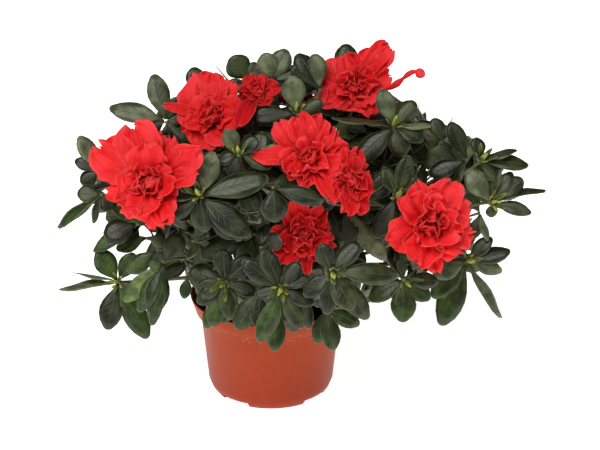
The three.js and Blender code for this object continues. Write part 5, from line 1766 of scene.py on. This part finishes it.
class AZALEA_OT_peat(Operator):
    """Fills the pot with crumbly peat"""

    bl_idname = "azalea.peat"
    bl_label = "Peat"

    def execute(self, context):
        pot = context.scene.azalea.pot
        edge = PEAT["edge"]
        radii = np.linspace(edge, 0, PEAT["rings"])
        bm = spun(PEAT["section"] + [(r, peat_level(pot, r)) for r in radii], PEAT["turns"])
        for v in bm.verts:
            on_top = v.co.z > pot.soil_top - PEAT["flat_rim"] * MM
            if on_top and v.co.xy.length < (edge - PEAT["flat_rim"]) * MM:
                lump = noise.fractal(v.co * per_metre(PEAT["lumps"]), 0.8, 2.0, 4) * PEAT["relief"]
                v.co.z += min(PEAT["highest"], max(PEAT["lowest"], lump)) * MM
        place_piece(mesh_of(bm, "peat_bed", moist_peat(pot)), ["soil"])

        rng = np.random.default_rng(CRUMBS["seed"])
        corners, faces = shape_of(bmesh.ops.create_icosphere, subdivisions=1, radius=1)
        radius = (edge - CRUMBS["wall_gap"]) * np.sqrt(rng.uniform(0, 1, CRUMBS["count"]))
        angle = rng.uniform(0, 2 * math.pi, CRUMBS["count"])
        away = radius > CRUMBS["trunk_gap"]
        radius, angle = radius[away], angle[away]
        count = len(radius)
        sizes = rng.uniform(*CRUMBS["size"], (count, 1, 1)) * rng.uniform(*CRUMBS["stretch"], (count, 1, 3))
        rough = 1 + rng.uniform(-CRUMBS["rough"], CRUMBS["rough"], (count, len(corners), 1))
        places = np.column_stack((radius * np.cos(angle), radius * np.sin(angle), peat_level(pot, radius)))
        crumbs = corners * rough * sizes + places[:, None]
        place_piece(copies_mesh("peat_crumbs", crumbs, faces, moist_peat(pot), False))
        return {"FINISHED"}


# How far a limb starts inside what it leaves, in mm, and how its radius changes: a bough flares at its root,
# a twig swells at its whorl, and a stalk widens into its bloom.
SUNK = {"trunk": 0.3, "bough": 3, "twig": 0.8, "stalk": 1.2}
TRUNK_RINGS = {"flared": (6, 14), "above": (8, 20)}  # mm above the foot, and how many rings
BOUGH_FORM = {"parts": np.linspace(0, 1, 26), "root": 1.4, "flare": 0.35, "decay": 12, "sides": 20}
TWIG_FORM = {"parts": np.linspace(0, 1, 13), "neck": 1.25, "hub": 1.5, "sides": 8}
STALK_FORM = {"swell": (1.15, 1.6, 2.2), "sides": 12}
PISTIL_RADII = (0.75, 0.3)

# Ridges of the bark, 1.8 mm wide and longer up the trunk, and knobs of a twig 1.1 mm wide, in mm of relief.
BARK = {"scale": 0.55, "reach": 1.3, "trunk": (0.3, 0.5), "bough": (0.8, 0.16)}  # stretch upward and relief
KNOBS = {"scale": 0.9, "relief": 0.16}


def rooted(limb, parts, sunk):
    """Points along a limb, with its start inside what it leaves."""
    points = limb.points(parts)
    return np.vstack((points[0] - unit(points[1] - points[0]) * sunk, points))


def bark_relief(p):
    """How far the bark stands out at a point in mm. The trunk's foot is fluted into root ribs."""
    foot, axis = TRUNK["foot"], trunk_axis(p.z)
    flat = math.hypot(p.x - axis[0], p.y - axis[1])
    on_trunk = flat < trunk_radius(p.z) * BARK["reach"] and p.z < TRUNK["top"]
    upward, relief = BARK["trunk" if on_trunk else "bough"]
    ridge = noise.fractal(Vector((p.x, p.y, p.z * upward)) * BARK["scale"], 0.7, 2.1, 3) * relief
    if on_trunk and p.z < foot + TRUNK["flute_height"]:
        fade = 1 - (p.z - foot) / TRUNK["flute_height"]
        angle = math.atan2(p.y - axis[1], p.x - axis[0])
        ridge += TRUNK["flute"] * fade * flat * math.cos(TRUNK["ribs"] * angle)
    return ridge


def knobbly(p):
    """How far a twig's skin stands out at a point in mm."""
    return noise.noise(p * KNOBS["scale"]) * KNOBS["relief"]


class AZALEA_OT_wood(Operator):
    """Grows the trunk and the boughs with the relief of their bark"""

    bl_idname = "azalea.wood"
    bl_label = "Trunk and boughs"

    def execute(self, context):
        foot, top = TRUNK["foot"], TRUNK["top"]
        flared, flared_rings = TRUNK_RINGS["flared"]
        above, above_rings = TRUNK_RINGS["above"]
        lower = np.linspace(foot - SUNK["trunk"], foot + flared, flared_rings)
        heights = np.concatenate([lower, np.linspace(foot + above, top, above_rings)])
        limbs = [(np.array([trunk_axis(h) for h in heights]), [trunk_radius(h) for h in heights])]
        parts = BOUGH_FORM["parts"]
        flare = 1 + BOUGH_FORM["flare"] * np.exp(-parts * BOUGH_FORM["decay"])
        for bough in grow_plant()[0].values():
            radii = between(bough.root, bough.tip, parts) * flare
            limbs.append((rooted(bough, parts, SUNK["bough"]), [bough.root * BOUGH_FORM["root"], *radii]))
        bark = old_bark(context.scene.azalea.wood)
        mesh = limb_mesh("trunk_and_boughs", limbs, BOUGH_FORM["sides"], bark, bark_relief)
        place_piece(mesh, nodes_of("trunk", "bough_"))
        return {"FINISHED"}


class AZALEA_OT_twigs(Operator):
    """Grows the twigs and the flower stalks on from the boughs"""

    bl_idname = "azalea.twigs"
    bl_label = "Twigs and stalks"

    def execute(self, context):
        wood = context.scene.azalea.wood
        parts = TWIG_FORM["parts"]
        few = parts[::4]
        twigs = []
        for x, y, tip_x, tip_y, depth in PISTILS:
            points = [seen(between(x, tip_x, part), between(y, tip_y, part), depth) for part in few]
            twigs.append((np.array(points), between(*PISTIL_RADII, few)))
        for limb, whorl in grow_leaves()[2]:
            radii = between(limb.root, limb.tip, parts)
            radii[-1] *= TWIG_FORM["neck"]
            points = np.vstack((rooted(limb, parts, SUNK["twig"]), whorl.at))
            twigs.append((points, [limb.root, *radii, limb.tip * TWIG_FORM["hub"]]))
        twig_skin = young_skin("shoot_skin", wood.twig_colour, "#55432b")
        place_piece(limb_mesh("twigs", twigs, TWIG_FORM["sides"], twig_skin, knobbly))

        stalks = []
        for stalk in grow_plant()[1]:
            radii = between(stalk.root, stalk.tip, parts)
            radii[-len(STALK_FORM["swell"]):] *= STALK_FORM["swell"]
            stalks.append((rooted(stalk, parts, SUNK["stalk"]), [stalk.root, *radii]))
        stalk_skin = young_skin("stalk_skin", wood.stalk_colour, "#6c6a33")
        place_piece(limb_mesh("flower_stalks", stalks, STALK_FORM["sides"], stalk_skin))
        return {"FINISHED"}


class AZALEA_OT_leaves(Operator):
    """Sets the leaves on the twigs, in whorls and along them"""

    bl_idname = "azalea.leaves"
    bl_label = "Leaves"

    def execute(self, context):
        foliage = context.scene.azalea.foliage
        kinds = grow_leaves()[0]
        # Of these greens, the deep one is partly painted shade and the dusty one is painted sheen.
        tops = ["deep", "grey", "mid", "fresh", "dusty"]
        materials = [leaf_skin(f"leaf_top_{t}", getattr(foliage, f"{t}_colour"), foliage) for t in tops]
        under = leaf_skin("leaf_back", foliage.under_colour, foliage, back=True)
        materials += [under] * len(tops)
        for kind, nodes, seed in (("crown", nodes_of("foliage_"), 5), ("inner", (), 6)):
            groups = [blade_sheets(kinds[kind], seed)]
            mesh = sheet_mesh(f"leaves_{kind}", groups, materials, foliage.leaf_thickness)
            place_piece(mesh, nodes)
        return {"FINISHED"}


# A bud is an egg, narrower at its tip, ridged where its scales end. Its radius is a share of its length.
BUD_FORM = {"radius": 0.23, "foot": 1.15, "taper": 0.75, "relief": 0.1, "ridges": 5, "twist": 5}


class AZALEA_OT_buds(Operator):
    """Sets a bud with its young leaves and scales in each whorl"""

    bl_idname = "azalea.buds"
    bl_label = "Buds and young leaves"

    def execute(self, context):
        foliage = context.scene.azalea.foliage
        kinds, buds, _ = grow_leaves()
        young = leaf_skin("leaf_young", foliage.young_colour, foliage)
        scale = leaf_skin("bud_scale", foliage.bud_colour, foliage)
        groups = [blade_sheets(kinds["young"], 7, fold=0.5, wave=0.01)]
        thickness = foliage.leaf_thickness * YOUNG["thin"]
        place_piece(sheet_mesh("young_leaves", groups, [young, scale, young, scale], thickness))

        corners, faces = shape_of(bmesh.ops.create_uvsphere, u_segments=10, v_segments=8, radius=1)
        rise = corners[:, 2] * 0.5 + 0.5
        swirl = BUD_FORM["ridges"] * np.arctan2(corners[:, 1], corners[:, 0]) + rise * BUD_FORM["twist"]
        narrow = (BUD_FORM["foot"] - BUD_FORM["taper"] * rise) * (1 + BUD_FORM["relief"] * np.cos(swirl))
        x, y = (corners[:, k] * BUD_FORM["radius"] * narrow for k in (0, 1))
        shape = np.column_stack((x, y, rise))
        placed = [at + (shape @ np.array((*square_to(axis), axis))) * length for at, axis, length in buds]
        skin = young_skin("bud_skin", foliage.bud_colour, "#8f9a3c")
        place_piece(copies_mesh("buds", np.array(placed), faces, skin, True))
        return {"FINISHED"}


class AZALEA_OT_blooms(Operator):
    """Opens the double red blooms, petal by petal"""

    bl_idname = "azalea.blooms"
    bl_label = "Blooms"

    def execute(self, context):
        bloom = context.scene.azalea.bloom
        materials = [
            petal_silk("petal_outer", bloom.petal_colour, bloom.blush_and_highlight_colour, bloom),
            petal_silk("petal_heart", bloom.heart_and_shade_colour, bloom.petal_colour, bloom),
        ] * 2
        noise.seed_set(CRUMPLE["seed"])
        middles = bloom_middles()
        for name, first, end in BLOOM_PIECES:
            groups = []
            for item, at in zip(BLOOMS[first:end], middles[first:end]):
                groups += bloom_sheets(item, at)
            if name == "petals_right":
                root, tip = (seen(x, y, depth) for x, y, depth in CURLED_PETAL)
                out, end_out = heading(0, CURLED_WAY["foot"]), heading(0, CURLED_WAY["tip"])
                groups.append(rolled_petal(Limb(root, out, tip, end_out, CURLED_WAY["stiffness"])))
            nodes = [item.name for item in BLOOMS[first:end]]
            place_piece(sheet_mesh(name, groups, materials, bloom.thickness), nodes)
        return {"FINISHED"}


OPERATORS = [
    AZALEA_OT_stage, AZALEA_OT_pot, AZALEA_OT_peat, AZALEA_OT_wood, AZALEA_OT_twigs, AZALEA_OT_leaves,
    AZALEA_OT_buds, AZALEA_OT_blooms,
]


class AZALEA_PT_sidebar(Panel):
    """Lists the pieces of the plant and its settings"""

    bl_idname = "AZALEA_PT_sidebar"
    bl_label = "Potted azalea"
    bl_space_type = "VIEW_3D"
    bl_region_type = "UI"
    bl_category = "Azalea"

    def draw(self, context):
        for operator in OPERATORS:
            self.layout.operator(operator.bl_idname)
        for group in ("pot", "wood", "foliage", "bloom", "stage"):
            box = self.layout.box()
            box.label(text=group.capitalize())
            settings = getattr(context.scene.azalea, group)
            for key in settings.__annotations__:
                box.prop(settings, key)


CLASSES = [
    PotSettings, WoodSettings, FoliageSettings, BloomSettings, StageSettings, AzaleaSettings, *OPERATORS,
    AZALEA_PT_sidebar,
]


def register():
    for cls in CLASSES:
        bpy.utils.register_class(cls)
    bpy.types.Scene.azalea = PointerProperty(type=AzaleaSettings)


def unregister():
    del bpy.types.Scene.azalea
    for cls in reversed(CLASSES):
        bpy.utils.unregister_class(cls)


def main():
    register()
    for operator in OPERATORS:
        getattr(bpy.ops.azalea, operator.bl_idname.split(".")[1])()
    boxes = {"cad": CAD_BOX, "visual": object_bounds()}
    {key: [list(corner) for corner in box] for key, box in boxes.items()}


if __name__ == "__main__":
    main()
